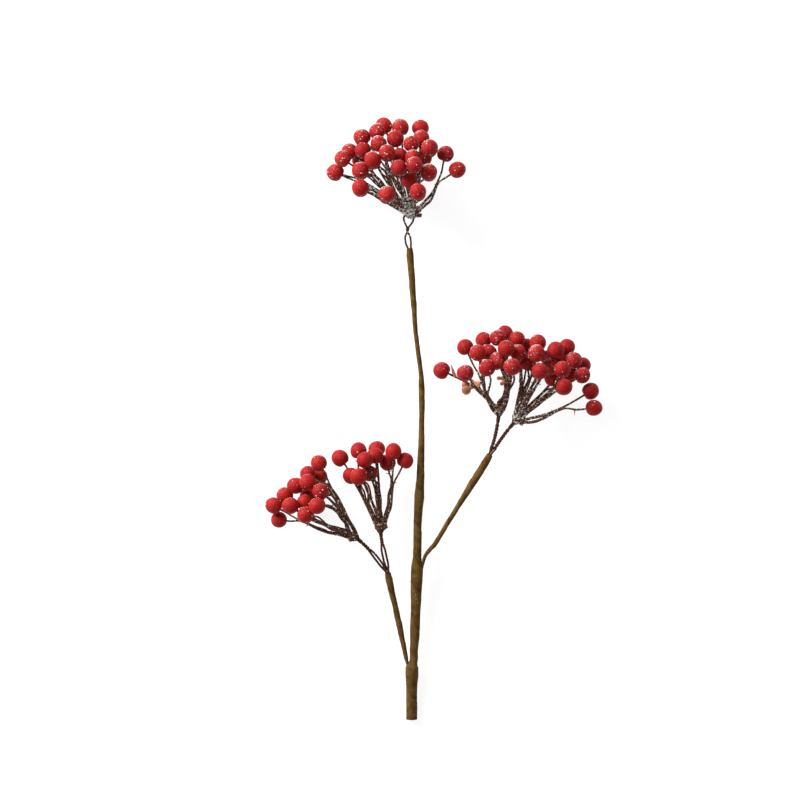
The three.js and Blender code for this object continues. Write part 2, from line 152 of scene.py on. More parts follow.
class Nodes:
    """A node tree that nodes are added to."""

    def __init__(self, tree):
        self.tree = tree

    def plug(self, socket, value):
        if isinstance(value, Value):
            self.tree.links.new(value.socket, socket)
        else:
            socket.default_value = value

    def add(self, kind, sockets=None, out=0, **settings):
        node = self.tree.nodes.new(kind)
        for name, setting in settings.items():
            setattr(node, name, setting)
        for name, value in (sockets or {}).items():
            self.plug(node.inputs[name], value)
        return Value(self, node.outputs[out])

    def vector(self, operation, *values):
        return self.add("ShaderNodeVectorMath", dict(enumerate(values)), operation=operation)

    def stretched(self, vector, amount):
        return self.add("ShaderNodeVectorMath", {0: vector, "Scale": amount}, operation="SCALE")

    def noise(self, place, scale, detail=2.0, **settings):
        sockets = {"Vector": place, "Scale": scale, "Detail": detail}
        return self.add("ShaderNodeTexNoise", sockets, **settings)

    def mixed(self, share, first, second):
        """The first colour where share is 0 and the second where it is 1."""
        node = self.tree.nodes.new("ShaderNodeMix")
        node.data_type = "RGBA"
        by_identifier = {socket.identifier: socket for socket in node.inputs}
        self.plug(by_identifier["Factor_Float"], share)
        self.plug(by_identifier["A_Color"], first)
        self.plug(by_identifier["B_Color"], second)
        return Value(self, node.outputs[2])


# %% [markdown]
# ## Materials
# Each finish is one material. Colours are linear light, and every pattern is read from the object's own
# coordinates in metres, so its scale is a real one, or from a measure that the piece keeps on its points.

# %% A plain start for every finish
MATT = 0.0
SATIN = 0.1
SOFT_GLOSS = 0.3
GLOSS = 0.5


def new_finish(name, shine):
    """A material with its Principled shader, and the nodes to write it with."""
    material = bpy.data.materials.new(name)
    material.use_nodes = True
    nodes = Nodes(material.node_tree)
    shader = material.node_tree.nodes["Principled BSDF"]
    shader.inputs["Specular IOR Level"].default_value = shine
    place = nodes.add("ShaderNodeTexCoord", out="Object")
    return material, nodes, shader, place


def measure(nodes, name):
    """A measure that the piece keeps on its points."""
    return nodes.add("ShaderNodeAttribute", out="Fac", attribute_name=name)


def rough_skin(nodes, shader, height, depth):
    """Relief too fine for the mesh, with its depth in metres."""
    bump = nodes.add("ShaderNodeBump", {"Strength": 1.0, "Distance": depth, "Height": height})
    nodes.plug(shader.inputs["Normal"], bump)


# %% [markdown]
# A berry is a foam ball dipped in satin red paint. No two took the paint alike, so each keeps a tone of its
# own, and a faint powder of frost greys the side that was sprayed.

# %% Berry paint
BERRY_DEEP = (0.32, 0.010, 0.012, 1)
BERRY_BRIGHT = (0.39, 0.014, 0.010, 1)
BERRY_GRAIN = (0.14, 0.003, 0.005, 1)
BERRY_POWDER = (0.58, 0.34, 0.32, 1)
BERRY_CLOUDS = 420.0
BERRY_MOTTLE = 1000.0
BERRY_DUST = 1300.0
OWN_TONE = 0.6
GRAINY = (0.45, 0.7)
GRAIN_SHARE = 0.5
DUSTY = (0.57, 0.66)
DUSTY_CLOUDS = (0.3, 0.7)
DUST_SHARE = 0.8
BERRY_ROUGHNESS = 0.42
MOTTLE_ROUGHNESS = 0.2
DUST_ROUGHNESS = 0.15
BERRY_RELIEF = 0.08 * MM
POWDER_HEIGHT = 0.6


def berry_finish():
    material, nodes, shader, place = new_finish("berry_paint", SATIN)
    cloudy = nodes.noise(place, BERRY_CLOUDS, detail=3.0)
    mottled = nodes.noise(place, BERRY_MOTTLE)
    powder = nodes.noise(place, BERRY_DUST)
    tone = OWN_TONE * measure(nodes, "tone") + (1 - OWN_TONE) * cloudy
    paint = nodes.mixed(tone.between(0.0, 1.0), BERRY_DEEP, BERRY_BRIGHT)
    paint = nodes.mixed(mottled.between(*GRAINY) * GRAIN_SHARE, paint, BERRY_GRAIN)
    dusty = measure(nodes, "sprayed") * powder.between(*DUSTY) * cloudy.between(*DUSTY_CLOUDS)
    nodes.plug(shader.inputs["Base Color"], nodes.mixed(dusty * DUST_SHARE, paint, BERRY_POWDER))
    roughness = BERRY_ROUGHNESS + MOTTLE_ROUGHNESS * mottled + DUST_ROUGHNESS * dusty
    nodes.plug(shader.inputs["Roughness"], roughness)
    rough_skin(nodes, shader, mottled + POWDER_HEIGHT * powder, BERRY_RELIEF)
    return material


# %% [markdown]
# The twigs are moulded plastic, almost black brown, and the frost is glued on them in patches.

# %% Twig plastic
TWIG_DARK = (0.048, 0.022, 0.014, 1)
TWIG_LIGHT = (0.190, 0.084, 0.050, 1)
TWIG_FROSTED = (0.68, 0.665, 0.65, 1)
TWIG_BARK = 900.0
TWIG_PATCHES = 800.0
BARK_TONES = (0.35, 0.7)
FROST_WEIGHT = 0.2
PATCH_EDGE = (0.63, 0.67)
TWIG_ROUGHNESS = 0.55
BARK_ROUGHNESS = 0.3
TWIG_RELIEF = 0.16 * MM
PATCH_HEIGHT = 0.8


def twig_finish():
    material, nodes, shader, place = new_finish("twig_plastic", MATT)
    bark = nodes.noise(place, TWIG_BARK, detail=4.0)
    patches = nodes.noise(place, TWIG_PATCHES, detail=4.0)
    brown = nodes.mixed(bark.between(*BARK_TONES), TWIG_DARK, TWIG_LIGHT)
    frosted = (patches + FROST_WEIGHT * measure(nodes, "frost")).between(*PATCH_EDGE)
    nodes.plug(shader.inputs["Base Color"], nodes.mixed(frosted, brown, TWIG_FROSTED))
    nodes.plug(shader.inputs["Roughness"], TWIG_ROUGHNESS + BARK_ROUGHNESS * bark)
    rough_skin(nodes, shader, bark + PATCH_HEIGHT * frosted, TWIG_RELIEF)
    return material


# %% [markdown]
# Floral tape is crepe paper with a little wax in it. Its wrinkles run along the stem, too fine and too many
# for it to shine. Each lap has a painted shade where its edge steps over the last turn, darkest at the edge
# and fading across the lap's width.

# %% Tape
TAPE_DARK = (0.064, 0.033, 0.007, 1)
TAPE_LIGHT = (0.165, 0.093, 0.030, 1)
# painted shade: the colour of the step where a lap's edge lies over the last turn
TAPE_STEP_SHADE = (0.040, 0.020, 0.004, 1)
CREPE_STRETCH = (1.0, 0.16, 1.0)
CREPE_WRINKLES = 2600.0
TAPE_MOTTLE = 260.0
TAPE_SPECKS = 1900.0
TAPE_TONES = (0.3, 0.68)
MOTTLE_TONE = 0.5
CREPE_TONE = 0.32
SPECK_TONE = 0.18
LAP_SHADE_RAMP = 0.11
LAP_EDGE = 0.14
LAP_SHADE = 0.4
TAPE_ROUGHNESS = 0.42
CREPE_ROUGHNESS = 0.3
TAPE_RELIEF = 0.12 * MM
SPECK_HEIGHT = 0.5


def tape_finish():
    material, nodes, shader, place = new_finish("wound_tape", MATT)
    along = nodes.vector("MULTIPLY", place, CREPE_STRETCH)
    crepe = nodes.noise(along, CREPE_WRINKLES, detail=3.0)
    mottled = nodes.noise(place, TAPE_MOTTLE, detail=4.0)
    specks = nodes.noise(place, TAPE_SPECKS)
    lap = measure(nodes, "lap")
    # painted shade at each lap's step: a darker ramp across the lap and a dark band at its edge
    tone = MOTTLE_TONE * mottled + CREPE_TONE * crepe + SPECK_TONE * specks + LAP_SHADE_RAMP * (lap - 0.5)
    paper = nodes.mixed(tone.between(*TAPE_TONES), TAPE_DARK, TAPE_LIGHT)
    edge = 1 - lap.between(0.0, LAP_EDGE)
    nodes.plug(shader.inputs["Base Color"], nodes.mixed(edge * LAP_SHADE, paper, TAPE_STEP_SHADE))
    nodes.plug(shader.inputs["Roughness"], TAPE_ROUGHNESS + CREPE_ROUGHNESS * crepe)
    rough_skin(nodes, shader, crepe + SPECK_HEIGHT * specks, TAPE_RELIEF)
    return material


# %% [markdown]
# The binding wire is soft iron wound with thin brown paper.

# %% Wire cover and steel
WIRE_DARK = (0.036, 0.015, 0.009, 1)
WIRE_LIGHT = (0.140, 0.058, 0.036, 1)
WIRE_FIBRES = 1700.0
WIRE_TONES = (0.3, 0.8)
FIBRE_TONE = 0.75
COVER_TONE = 0.3
WIRE_ROUGHNESS = 0.5
FIBRE_ROUGHNESS = 0.3
WIRE_RELIEF = 0.05 * MM
STEEL_COLOUR = (0.36, 0.355, 0.34, 1)
STEEL_SCRATCHES = 5200.0
STEEL_ROUGHNESS = 0.25
SCRATCH_ROUGHNESS = 0.3
STEEL_RELIEF = 0.02 * MM


def wire_finish():
    material, nodes, shader, place = new_finish("wire_cover", MATT)
    fibres = nodes.noise(place, WIRE_FIBRES, detail=3.0)
    tone = fibres * FIBRE_TONE + measure(nodes, "lap") * COVER_TONE
    nodes.plug(shader.inputs["Base Color"], nodes.mixed(tone.between(*WIRE_TONES), WIRE_DARK, WIRE_LIGHT))
    nodes.plug(shader.inputs["Roughness"], WIRE_ROUGHNESS + FIBRE_ROUGHNESS * fibres)
    rough_skin(nodes, shader, fibres, WIRE_RELIEF)
    return material


def steel_finish():
    material, nodes, shader, place = new_finish("core_steel", GLOSS)
    scratches = nodes.noise(place, STEEL_SCRATCHES, detail=3.0)
    shader.inputs["Base Color"].default_value = STEEL_COLOUR
    shader.inputs["Metallic"].default_value = 1.0
    nodes.plug(shader.inputs["Roughness"], STEEL_ROUGHNESS + SCRATCH_ROUGHNESS * scratches)
    rough_skin(nodes, shader, scratches, STEEL_RELIEF)
    return material


# %% [markdown]
# Frost is white grit in clear glue, and a bare tip is peach plastic that the brown paint missed.

# %% Frost and bare plastic
FROST_GREY = (0.42, 0.415, 0.41, 1)
FROST_WHITE = (0.74, 0.74, 0.73, 1)
FROST_SPARKLE = 1800.0
SPARKLE_TONES = (0.35, 0.65)
FROST_ROUGHNESS = 0.3
SPARKLE_ROUGHNESS = 0.35
TIP_SHADE = (0.38, 0.125, 0.055, 1)
TIP_PEACH = (0.66, 0.27, 0.145, 1)
TIP_CLOUDS = 700.0
TIP_TONES = (0.3, 0.7)
TIP_ROUGHNESS = 0.4
CLOUD_ROUGHNESS = 0.2
TIP_RELIEF = 0.1 * MM


def frost_finish():
    material, nodes, shader, place = new_finish("frost_grains", GLOSS)
    sparkle = nodes.noise(place, FROST_SPARKLE, detail=1.0)
    white = nodes.mixed(sparkle.between(*SPARKLE_TONES), FROST_GREY, FROST_WHITE)
    nodes.plug(shader.inputs["Base Color"], white)
    nodes.plug(shader.inputs["Roughness"], FROST_ROUGHNESS + SPARKLE_ROUGHNESS * sparkle)
    return material


def tip_finish():
    material, nodes, shader, place = new_finish("bare_tip", SOFT_GLOSS)
    cloudy = nodes.noise(place, TIP_CLOUDS, detail=3.0)
    nodes.plug(shader.inputs["Base Color"], nodes.mixed(cloudy.between(*TIP_TONES), TIP_SHADE, TIP_PEACH))
    nodes.plug(shader.inputs["Roughness"], TIP_ROUGHNESS + CLOUD_ROUGHNESS * cloudy)
    rough_skin(nodes, shader, cloudy, TIP_RELIEF)
    return material


BERRY_PAINT = berry_finish()
TWIG_PLASTIC = twig_finish()
WOUND_TAPE = tape_finish()
WIRE_COVER = wire_finish()
CORE_STEEL = steel_finish()
FROST_GRAINS = frost_finish()
BARE_TIP = tip_finish()
print("finishes:", [material.name for material in bpy.data.materials])

# %% [markdown]
# ## The surface
# A plain pale board, which isn't part of the sprig. It glows a little, as a light table does, so that the
# shadows on it stay faint.

# %% Board
BOARD_SIDE = 30.0
BOARD_COLOUR = (0.32, 0.32, 0.32, 1)
BOARD_GLOW = 0.85
BOARD_ROUGHNESS = 0.9
BOARD_DROP = 0.2 * MM

bpy.ops.mesh.primitive_plane_add(size=BOARD_SIDE, location=(0, 0, -BOARD_DROP))
board = bpy.context.object
board.name = "board"
board_finish, _, board_shader, _ = new_finish("board_paint", MATT)
board_shader.inputs["Base Color"].default_value = BOARD_COLOUR
board_shader.inputs["Roughness"].default_value = BOARD_ROUGHNESS
board_shader.inputs["Emission Color"].default_value = WHITE
board_shader.inputs["Emission Strength"].default_value = BOARD_GLOW
board.data.materials.append(board_finish)
print("board of", BOARD_SIDE, "m")

# %% [markdown]
# ## Geometry Nodes trees
# Four trees make all that repeats or follows a line: tape wound round a line, a moulded strand along a line,
# berries on points, and grains on a surface. Each has named inputs for its sizes. A tree is run on a mesh
# that holds only lines, points or the surface, and its result is kept as a plain mesh.

# %% Starting and running a tree
LOW_CORNER = (-1.0, -1.0, 0.0)
SOCKET_KINDS = {int: "NodeSocketInt", float: "NodeSocketFloat", bpy.types.Material: "NodeSocketMaterial"}


def new_tree(name, **inputs):
    """A tree with a geometry input and the named inputs, each of the kind given for it."""
    tree = bpy.data.node_groups.new(name, "GeometryNodeTree")
    tree.interface.new_socket("Geometry", in_out="INPUT", socket_type="NodeSocketGeometry")
    for label, kind in inputs.items():
        tree.interface.new_socket(label, in_out="INPUT", socket_type=SOCKET_KINDS[kind])
    tree.interface.new_socket("Geometry", in_out="OUTPUT", socket_type="NodeSocketGeometry")
    nodes = Nodes(tree)
    inlet = tree.nodes.new("NodeGroupInput")
    given = {socket.name: Value(nodes, socket) for socket in inlet.outputs if socket.name}
    return nodes, given


def named(nodes, name, data_type="FLOAT"):
    return nodes.add("GeometryNodeInputNamedAttribute", {"Name": name}, data_type=data_type)


def kept(nodes, geometry, name, value):
    """The geometry with a measure kept on its points under a name."""
    sockets = {"Geometry": geometry, "Name": name, "Value": value}
    return nodes.add("GeometryNodeStoreNamedAttribute", sockets, data_type="FLOAT", domain="POINT")


def pushed_out(nodes, geometry, height):
    """The geometry with each point moved along its normal."""
    normal = nodes.add("GeometryNodeInputNormal")
    offset = nodes.stretched(normal, height)
    return nodes.add("GeometryNodeSetPosition", {"Geometry": geometry, "Offset": offset})


def pressed_flat(nodes, geometry):
    """The geometry with all that lies below the board's surface lifted to it."""
    place = nodes.add("GeometryNodeInputPosition")
    above = nodes.vector("MAXIMUM", place, LOW_CORNER)
    return nodes.add("GeometryNodeSetPosition", {"Geometry": geometry, "Position": above})


def close_tree(nodes, geometry, material, smooth):
    """Ends a tree with plain, shaded geometry of one material."""
    geometry = nodes.add("GeometryNodeRealizeInstances", {"Geometry": geometry})
    geometry = nodes.add("GeometryNodeSetShadeSmooth", {"Geometry": geometry, "Shade Smooth": smooth})
    geometry = nodes.add("GeometryNodeSetMaterial", {"Geometry": geometry, "Material": material})
    outlet = nodes.tree.nodes.new("NodeGroupOutput")
    nodes.plug(outlet.inputs[0], geometry)
    return nodes.tree


def grown(name, start, tree, **inputs):
    """The plain mesh object that a tree makes of a starting mesh."""
    piece = bpy.data.objects.new(name, start)
    bpy.context.scene.collection.objects.link(piece)
    making = piece.modifiers.new("making", "NODES")
    making.node_group = tree
    for item in tree.interface.items_tree:
        if item.in_out == "INPUT" and item.name in inputs:
            making[item.identifier] = inputs[item.name]
    graph = bpy.context.evaluated_depsgraph_get()
    evaluated = piece.evaluated_get(graph)
    mesh = bpy.data.meshes.new_from_object(evaluated, preserve_all_data_layers=True, depsgraph=graph)
    piece.modifiers.remove(making)
    piece.data = mesh
    mesh.name = name
    return piece


def finished(piece, slot, *nodes):
    """Hands a piece to the frame: it rides on the sprig and stands for the nodes named."""
    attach(piece, "root")
    if nodes:
        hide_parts(*nodes)
    triangles = sum(len(face.vertices) - 2 for face in piece.data.polygons)
    print(piece.name, triangles, "triangles")
    return piece


# %% [markdown]
# Tape is wound in a spiral, each turn over the edge of the last. So the radius climbs slowly round the stem
# and drops at each lap's edge: a saw tooth of the angle plus the way along. A tree can do that for any line,
# because the sweep keeps the way along the line and the turn round it on every point.

# %% Tree for wound tape
WANDER_SCALE = 60.0
WANDER_TURNS = 0.8
LUMP_SCALE = 240.0


def wound_tape_tree():
    nodes, given = new_tree(
        "wound_tape", Sides=int, Pitch=float, Lap=float, Crepe=float, Seed=float, Material=bpy.types.Material
    )
    line = nodes.add("GeometryNodeMeshToCurve", {"Mesh": given["Geometry"]})
    circle = nodes.add("GeometryNodeCurvePrimitiveCircle", {"Resolution": given["Sides"], "Radius": 1.0})
    circle = kept(nodes, circle, "turn", nodes.add("GeometryNodeSplineParameter"))
    sockets = {"Curve": line, "Profile Curve": circle, "Scale": named(nodes, "thick"), "Fill Caps": True}
    tube = nodes.add("GeometryNodeCurveToMesh", sockets)

    place = nodes.add("GeometryNodeInputPosition")
    wander = nodes.noise(place, WANDER_SCALE, detail=1.0, noise_dimensions="4D")
    nodes.plug(wander.socket.node.inputs["W"], given["Seed"])
    phase = named(nodes, "along") / given["Pitch"] + named(nodes, "turn") + WANDER_TURNS * wander
    tube = kept(nodes, tube, "lap", phase.math("FRACT"))
    lap = (named(nodes, "lap") - 0.5) * given["Lap"]
    lumps = nodes.noise(place, LUMP_SCALE, noise_dimensions="4D")
    nodes.plug(lumps.socket.node.inputs["W"], given["Seed"])
    tube = pushed_out(nodes, tube, lap + (lumps - 0.5) * given["Crepe"])
    return close_tree(nodes, pressed_flat(nodes, tube), given["Material"], True)


TAPE_TREE = wound_tape_tree()

# %% [markdown]
# A twig's strand is a tube along its line, as thick as its points say, with the bark pushed in and out.

# %% Tree for moulded strands
BARK_SCALE = 650.0


def strand_tree():
    nodes, given = new_tree("moulded_strand", Sides=int, Bark=float, Material=bpy.types.Material)
    line = nodes.add("GeometryNodeMeshToCurve", {"Mesh": given["Geometry"]})
    circle = nodes.add("GeometryNodeCurvePrimitiveCircle", {"Resolution": given["Sides"], "Radius": 1.0})
    sockets = {"Curve": line, "Profile Curve": circle, "Scale": named(nodes, "thick"), "Fill Caps": True}
    strand = nodes.add("GeometryNodeCurveToMesh", sockets)
    place = nodes.add("GeometryNodeInputPosition")
    bark = nodes.noise(place, BARK_SCALE)
    strand = pushed_out(nodes, strand, (bark - 0.5) * given["Bark"])
    return close_tree(nodes, strand, given["Material"], True)


STRAND_TREE = strand_tree()

# %% [markdown]
# A berry is a ball with a dimple where its stalk goes in. The tree puts one on each point, turns its dimple
# to the stalk, and then presses the whole bunch flat where it lies on the surface.

# %% Tree for berries
DIMPLE_HEIGHTS = (0.8, 1.0)
BERRY_LUMP_SCALE = 150.0


def berry_tree():
    nodes, given = new_tree("berries", Fineness=int, Dimple=float, Lumps=float, Material=bpy.types.Material)
    ball = nodes.add("GeometryNodeMeshIcoSphere", {"Radius": 1.0, "Subdivisions": given["Fineness"]})
    place = nodes.add("GeometryNodeInputPosition")
    height = nodes.add("ShaderNodeSeparateXYZ", {"Vector": place}, out="Z")
    ball = pushed_out(nodes, ball, height.between(*DIMPLE_HEIGHTS) * given["Dimple"] * -1.0)
    stalk = named(nodes, "stalk", "FLOAT_VECTOR")
    turned = nodes.add("FunctionNodeAlignRotationToVector", {"Vector": stalk})
    turned.socket.node.axis = "Z"
    sockets = {"Points": given["Geometry"], "Instance": ball, "Rotation": turned}
    sockets["Scale"] = named(nodes, "size", "FLOAT_VECTOR")
    bunch = nodes.add("GeometryNodeInstanceOnPoints", sockets)
    bunch = nodes.add("GeometryNodeRealizeInstances", {"Geometry": bunch})
    lumps = nodes.noise(place, BERRY_LUMP_SCALE, detail=1.0)
    bunch = pushed_out(nodes, bunch, (lumps - 0.5) * given["Lumps"])
    return close_tree(nodes, pressed_flat(nodes, bunch), given["Material"], True)


BERRY_TREE = berry_tree()

# %% [markdown]
# The frost was sprayed from the crown's side, so it sits mostly where a surface faces that way. The tree
# scatters points by how much frost a point of the surface keeps, and puts a small grain on each.

# %% Tree for frost
SPRAY_FROM = (-0.3, 0.95, -0.08)
FULLY_FACING = 0.95
BARE_HEIGHTS = (0.4 * MM, 1.2 * MM)
FROST_PATCHES = 330.0
PATCHY = (0.36, 0.66)
MOSTLY_SMALL = 2.0
GRAIN_WIDTH = 0.8
GRAIN_HEIGHT = 0.65


def frost_tree():
    nodes, given = new_tree(
        "frost", Density=float, Smallest=float, Largest=float, Spray=float, Facing=float, Seed=int,
        Material=bpy.types.Material,
    )
    sockets = {0: nodes.add("GeometryNodeInputNormal"), 1: SPRAY_FROM}
    facing = nodes.add("ShaderNodeVectorMath", sockets, out="Value", operation="DOT_PRODUCT")
    caught = facing.between(given["Facing"], FULLY_FACING) * given["Spray"] + (1 - given["Spray"])
    place = nodes.add("GeometryNodeInputPosition")
    height = nodes.add("ShaderNodeSeparateXYZ", {"Vector": place}, out="Z")
    clear = height.between(*BARE_HEIGHTS)
    patchy = nodes.noise(place, FROST_PATCHES).between(*PATCHY)
    density = given["Density"] * caught * clear * patchy * named(nodes, "frost")
    sockets = {"Mesh": given["Geometry"], "Density": density, "Seed": given["Seed"]}
    points = nodes.add("GeometryNodeDistributePointsOnFaces", sockets, distribute_method="RANDOM")
    turn = Value(nodes, points.socket.node.outputs["Rotation"])
    grain = nodes.add("GeometryNodeMeshIcoSphere", {"Radius": 1.0, "Subdivisions": 1})
    chance = nodes.add("FunctionNodeRandomValue", {"Seed": given["Seed"]}, out=1, data_type="FLOAT")
    size = given["Smallest"] + chance**MOSTLY_SMALL * (given["Largest"] - given["Smallest"])
    sockets = {"X": size, "Y": size * GRAIN_WIDTH, "Z": size * GRAIN_HEIGHT}
    flat = nodes.add("ShaderNodeCombineXYZ", sockets)
    sockets = {"Points": points, "Instance": grain, "Rotation": turn, "Scale": flat}
    grains = nodes.add("GeometryNodeInstanceOnPoints", sockets)
    return close_tree(nodes, grains, given["Material"], False)


FROST_TREE = frost_tree()
print("trees:", [tree.name for tree in bpy.data.node_groups])

# %% [markdown]
# ## Lines
# Everything long on the sprig follows a line. A route is a few points through which a smooth line runs, the
# same kind of line that the construction uses, so the fine surface lies on the solid.

# %% Smooth lines
FINE_STEPS = 60
FEWEST_POINTS = 4
END_FROM = -3


def unit(vector):
    return vector / np.linalg.norm(vector)


def smooth_line(route, step):
    """Points every step along a Catmull-Rom line through a route."""
    route = np.asarray(route, float)
    before = 2 * route[0] - route[1]
    after = 2 * route[-1] - route[-2]
    knots = np.vstack((before, route, after))
    fine = np.linspace(0, 1, FINE_STEPS, endpoint=False)[:, None]
    stretches = []
    for p0, p1, p2, p3 in zip(knots, knots[1:], knots[2:], knots[3:]):
        curve = 2 * p1 + (p2 - p0) * fine + (2 * p0 - 5 * p1 + 4 * p2 - p3) * fine**2
        stretches.append((curve + (3 * p1 - p0 - 3 * p2 + p3) * fine**3) / 2)
    dense = np.vstack((*stretches, route[-1:]))
    return evenly(dense, step)


def lengths_along(points):
    steps = np.linalg.norm(np.diff(points, axis=0), axis=1)
    return np.concatenate(((0.0,), np.cumsum(steps)))


def end_way(points):
    """The way that a line takes at its end."""
    return points[-1] - points[END_FROM]


def evenly(points, step):
    """The same line with its points a step apart."""
    way = lengths_along(points)
    count = max(FEWEST_POINTS, round(way[-1] / step) + 1)
    spaced = np.linspace(0, way[-1], count)
    return np.column_stack([np.interp(spaced, way, points[:, axis]) for axis in range(3)])


# %% [markdown]
# A strand is such a line with what the trees read from its points: how thick it is there, how far along it
# the point is and how much frost it keeps.

# %% Strands


def sides_of(points):
    """The direction ahead and the level direction to the side at each point of a line."""
    ahead = np.gradient(points, axis=0)
    ahead /= np.linalg.norm(ahead, axis=1)[:, None]
    side = np.cross(ahead, UP)
    side /= np.linalg.norm(side, axis=1)[:, None]
    return ahead, side


def smoothstep(values, low, high):
    share = np.clip((np.asarray(values, float) - low) / (high - low), 0, 1)
    return share * share * (3 - 2 * share)


def strand(points, thick, frost=0.0):
    """A line with the measures that the trees read from its points."""
    count = len(points)
    return {
        "points": points,
        "thick": np.broadcast_to(thick, count),
        "along": lengths_along(points),
        "frost": np.broadcast_to(frost, count),
    }


def line_mesh(name, strands):
    """A mesh of loose edges along the strands."""
    points = np.vstack([one["points"] for one in strands])
    starts = np.cumsum([0] + [len(one["points"]) for one in strands])
    edges = [(i, i + 1) for first, last in zip(starts, starts[1:]) for i in range(first, last - 1)]
    mesh = bpy.data.meshes.new(name)
    mesh.from_pydata(points.tolist(), edges, [])
    for measure_name in ("thick", "along", "frost"):
        values = np.concatenate([one[measure_name] for one in strands])
        mesh.attributes.new(measure_name, "FLOAT", "POINT").data.foreach_set("value", values)
    return mesh


# %% [markdown]
# ## Stem and branches
# The stem runs from its cut end up to the crown's tie, and its height is a straight line between them. A
# route gives places across and along the sprig, and the radii go by the place along it. They swell where a
# branch is taped on.

# %% Routes of the stem and branches
CUT_END = -180.8
STEM_ROUTE = (
    (-13.2, CUT_END), (-13.2, -165), (-13.1, -155), (-13, -149.5), (-11.9, -145), (-11.8, -138),
    (-11.2, -126), (-10, -88), (-9.5, -60), (-8, -35), (-7.2, 0),
    (-7.5, 25), (-10.6, 50), (-12.2, 72), (-14.5, 102.3),
)
STEM_RADII = (
    (CUT_END, 3.25), (-161, 3.25), (-155, 3.8), (-149.5, 3.85), (-146.3, 2.45), (-140, 2.35), (-126, 2.95),
    (-118, 2.8), (-109, 3.05), (-97, 3.5), (-89, 3.5), (-83, 2.45), (-63, 2.35), (-53, 2.6), (-46, 2.9),
    (-39, 2.45), (-25, 2.05), (0, 1.5), (12, 1.75), (20, 1.7), (27, 1.3), (55, 1.3), (64, 1.45), (71, 1.7),
    (89, 1.9), (102.3, 2.1),
)
RIGHT_ROUTE = (
    (-8.05, -99), (-7.4, -92), (-6.2, -86.4), (-5.6, -83.5), (-4, -80.5), (-1.5, -77.6),
    (1.1, -74.7), (6.5, -65.7), (19.2, -45), (29.9, -28), (33.6, -21.6),
)
RIGHT_RADII = (
    (-99, 0.7), (-88, 0.7), (-84, 0.95), (-76, 1.3), (-66, 1.3),
    (-52, 1.45), (-46, 1.8), (-38, 2.25), (-21.6, 2.2),
)
LEFT_ROUTE = (
    (-15.4, -156), (-15.6, -149), (-16.9, -142), (-18.6, -134),
    (-21.7, -119), (-26.2, -99.5), (-27.5, -92.7),
)
LEFT_RADII = (
    (-156, 0.7), (-148, 0.7), (-143.5, 1.2), (-134, 1.5), (-126, 1.75),
    (-118, 1.75), (-112, 1.6), (-99.5, 2), (-92.7, 2.15),
)
CUT_HEIGHT = 2.65
CROWN_TIE = (-14, 123.9, 33.4)
RIGHT_MOUTH_HEIGHT = 24.3
LEFT_MOUTH_HEIGHT = 16.5
LINE_STEP = 0.5 * MM
MOUTH_TAPER = 0.16
TAPER_LENGTH = 4 * MM
TAPE_COVER = 0.08 * MM


def stem_height(along):
    return np.interp(along, (CUT_END, CROWN_TIE[1]), (CUT_HEIGHT, CROWN_TIE[2]))


def raised(route, root_height, mouth_height):
    """A route with its heights, which climb evenly along it."""
    along = [point[1] for point in route]
    heights = np.interp(along, (along[0], along[-1]), (root_height, mouth_height))
    return np.column_stack((route, heights)) * MM


def radii_at(points, radii):
    """The radius at each point of a line, drawn in where the tape stops round the wires."""
    where, values = np.array(radii).T * MM
    left = lengths_along(points)[-1] - lengths_along(points)
    drawn_in = MOUTH_TAPER * (1 - smoothstep(left, 0, TAPER_LENGTH))
    return (np.interp(points[:, 1], where, values) + TAPE_COVER) * (1 - drawn_in)


stem_line = smooth_line(raised(STEM_ROUTE, CUT_HEIGHT, stem_height(STEM_ROUTE[-1][1])), LINE_STEP)
right_line = smooth_line(raised(RIGHT_ROUTE, stem_height(RIGHT_ROUTE[0][1]), RIGHT_MOUTH_HEIGHT), LINE_STEP)
left_line = smooth_line(raised(LEFT_ROUTE, stem_height(LEFT_ROUTE[0][1]), LEFT_MOUTH_HEIGHT), LINE_STEP)
print("stem", round(lengths_along(stem_line)[-1], 4), "m along its middle")

# %% Tape on the stem and branches
TAPE_SIDES = 36
TAPE_LAP = 0.18 * MM
TAPE_CREPE = 0.36 * MM
FLECKED_AT = -101 * MM
FLECKED_REACH = 16 * MM
TAPED = (
    ("main_stem_tape", "main_stem", stem_line, STEM_RADII, 20 * MM, 1.0),
    ("right_branch_tape", "right_branch", right_line, RIGHT_RADII, 14 * MM, 1.35),
    ("left_branch_tape", "left_branch", left_line, LEFT_RADII, 14 * MM, 2.7),
)

tapes = {}
for name, node, line, radii, pitch, seed in TAPED:
    off = np.abs(line[:, 1] - FLECKED_AT) / FLECKED_REACH
    lines = line_mesh(name, [strand(line, radii_at(line, radii), np.clip(1 - off, 0, 1))])
    tape = grown(
        name, lines, TAPE_TREE, Sides=TAPE_SIDES, Pitch=pitch, Lap=TAPE_LAP, Crepe=TAPE_CREPE,
        Seed=seed, Material=WOUND_TAPE,
    )
    tapes[node] = finished(tape, "stem_tape", node)

# %% [markdown]
# ## Ends of the tape
# Where the tape stops it has a lip, and the wires come out of a shallow hollow inside it. The cut end shows
# the layers of the tape round the steel. Each end is a small turned solid, so one function spins a profile.

# %% Turned ends
END_SIDES = 32
END_LENGTH = 8
STEM_MOUTH = 1.76 * MM
RIGHT_MOUTH = 1.85 * MM
LEFT_MOUTH = 1.81 * MM
CUT_RADIUS = 3.2 * MM
MOUTH_PROFILE = (
    (0, -2.0), (0.9, -2.0), (0.97, -0.5), (1.0, 0.0), (0.93, 0.22), (0.8, 0.2), (0.68, -0.6), (0, -0.6),
)
CUT_PROFILE = (
    (0, -2.0), (0.9, -2.0), (0.98, -0.3), (1.0, 0.05), (0.95, 0.2), (0.86, 0.2), (0.84, 0.1),
    (0.76, 0.1), (0.74, -0.05), (0.52, -0.05), (0.48, 0.06), (0.24, 0.06), (0.22, -0.4), (0, -0.4),
)


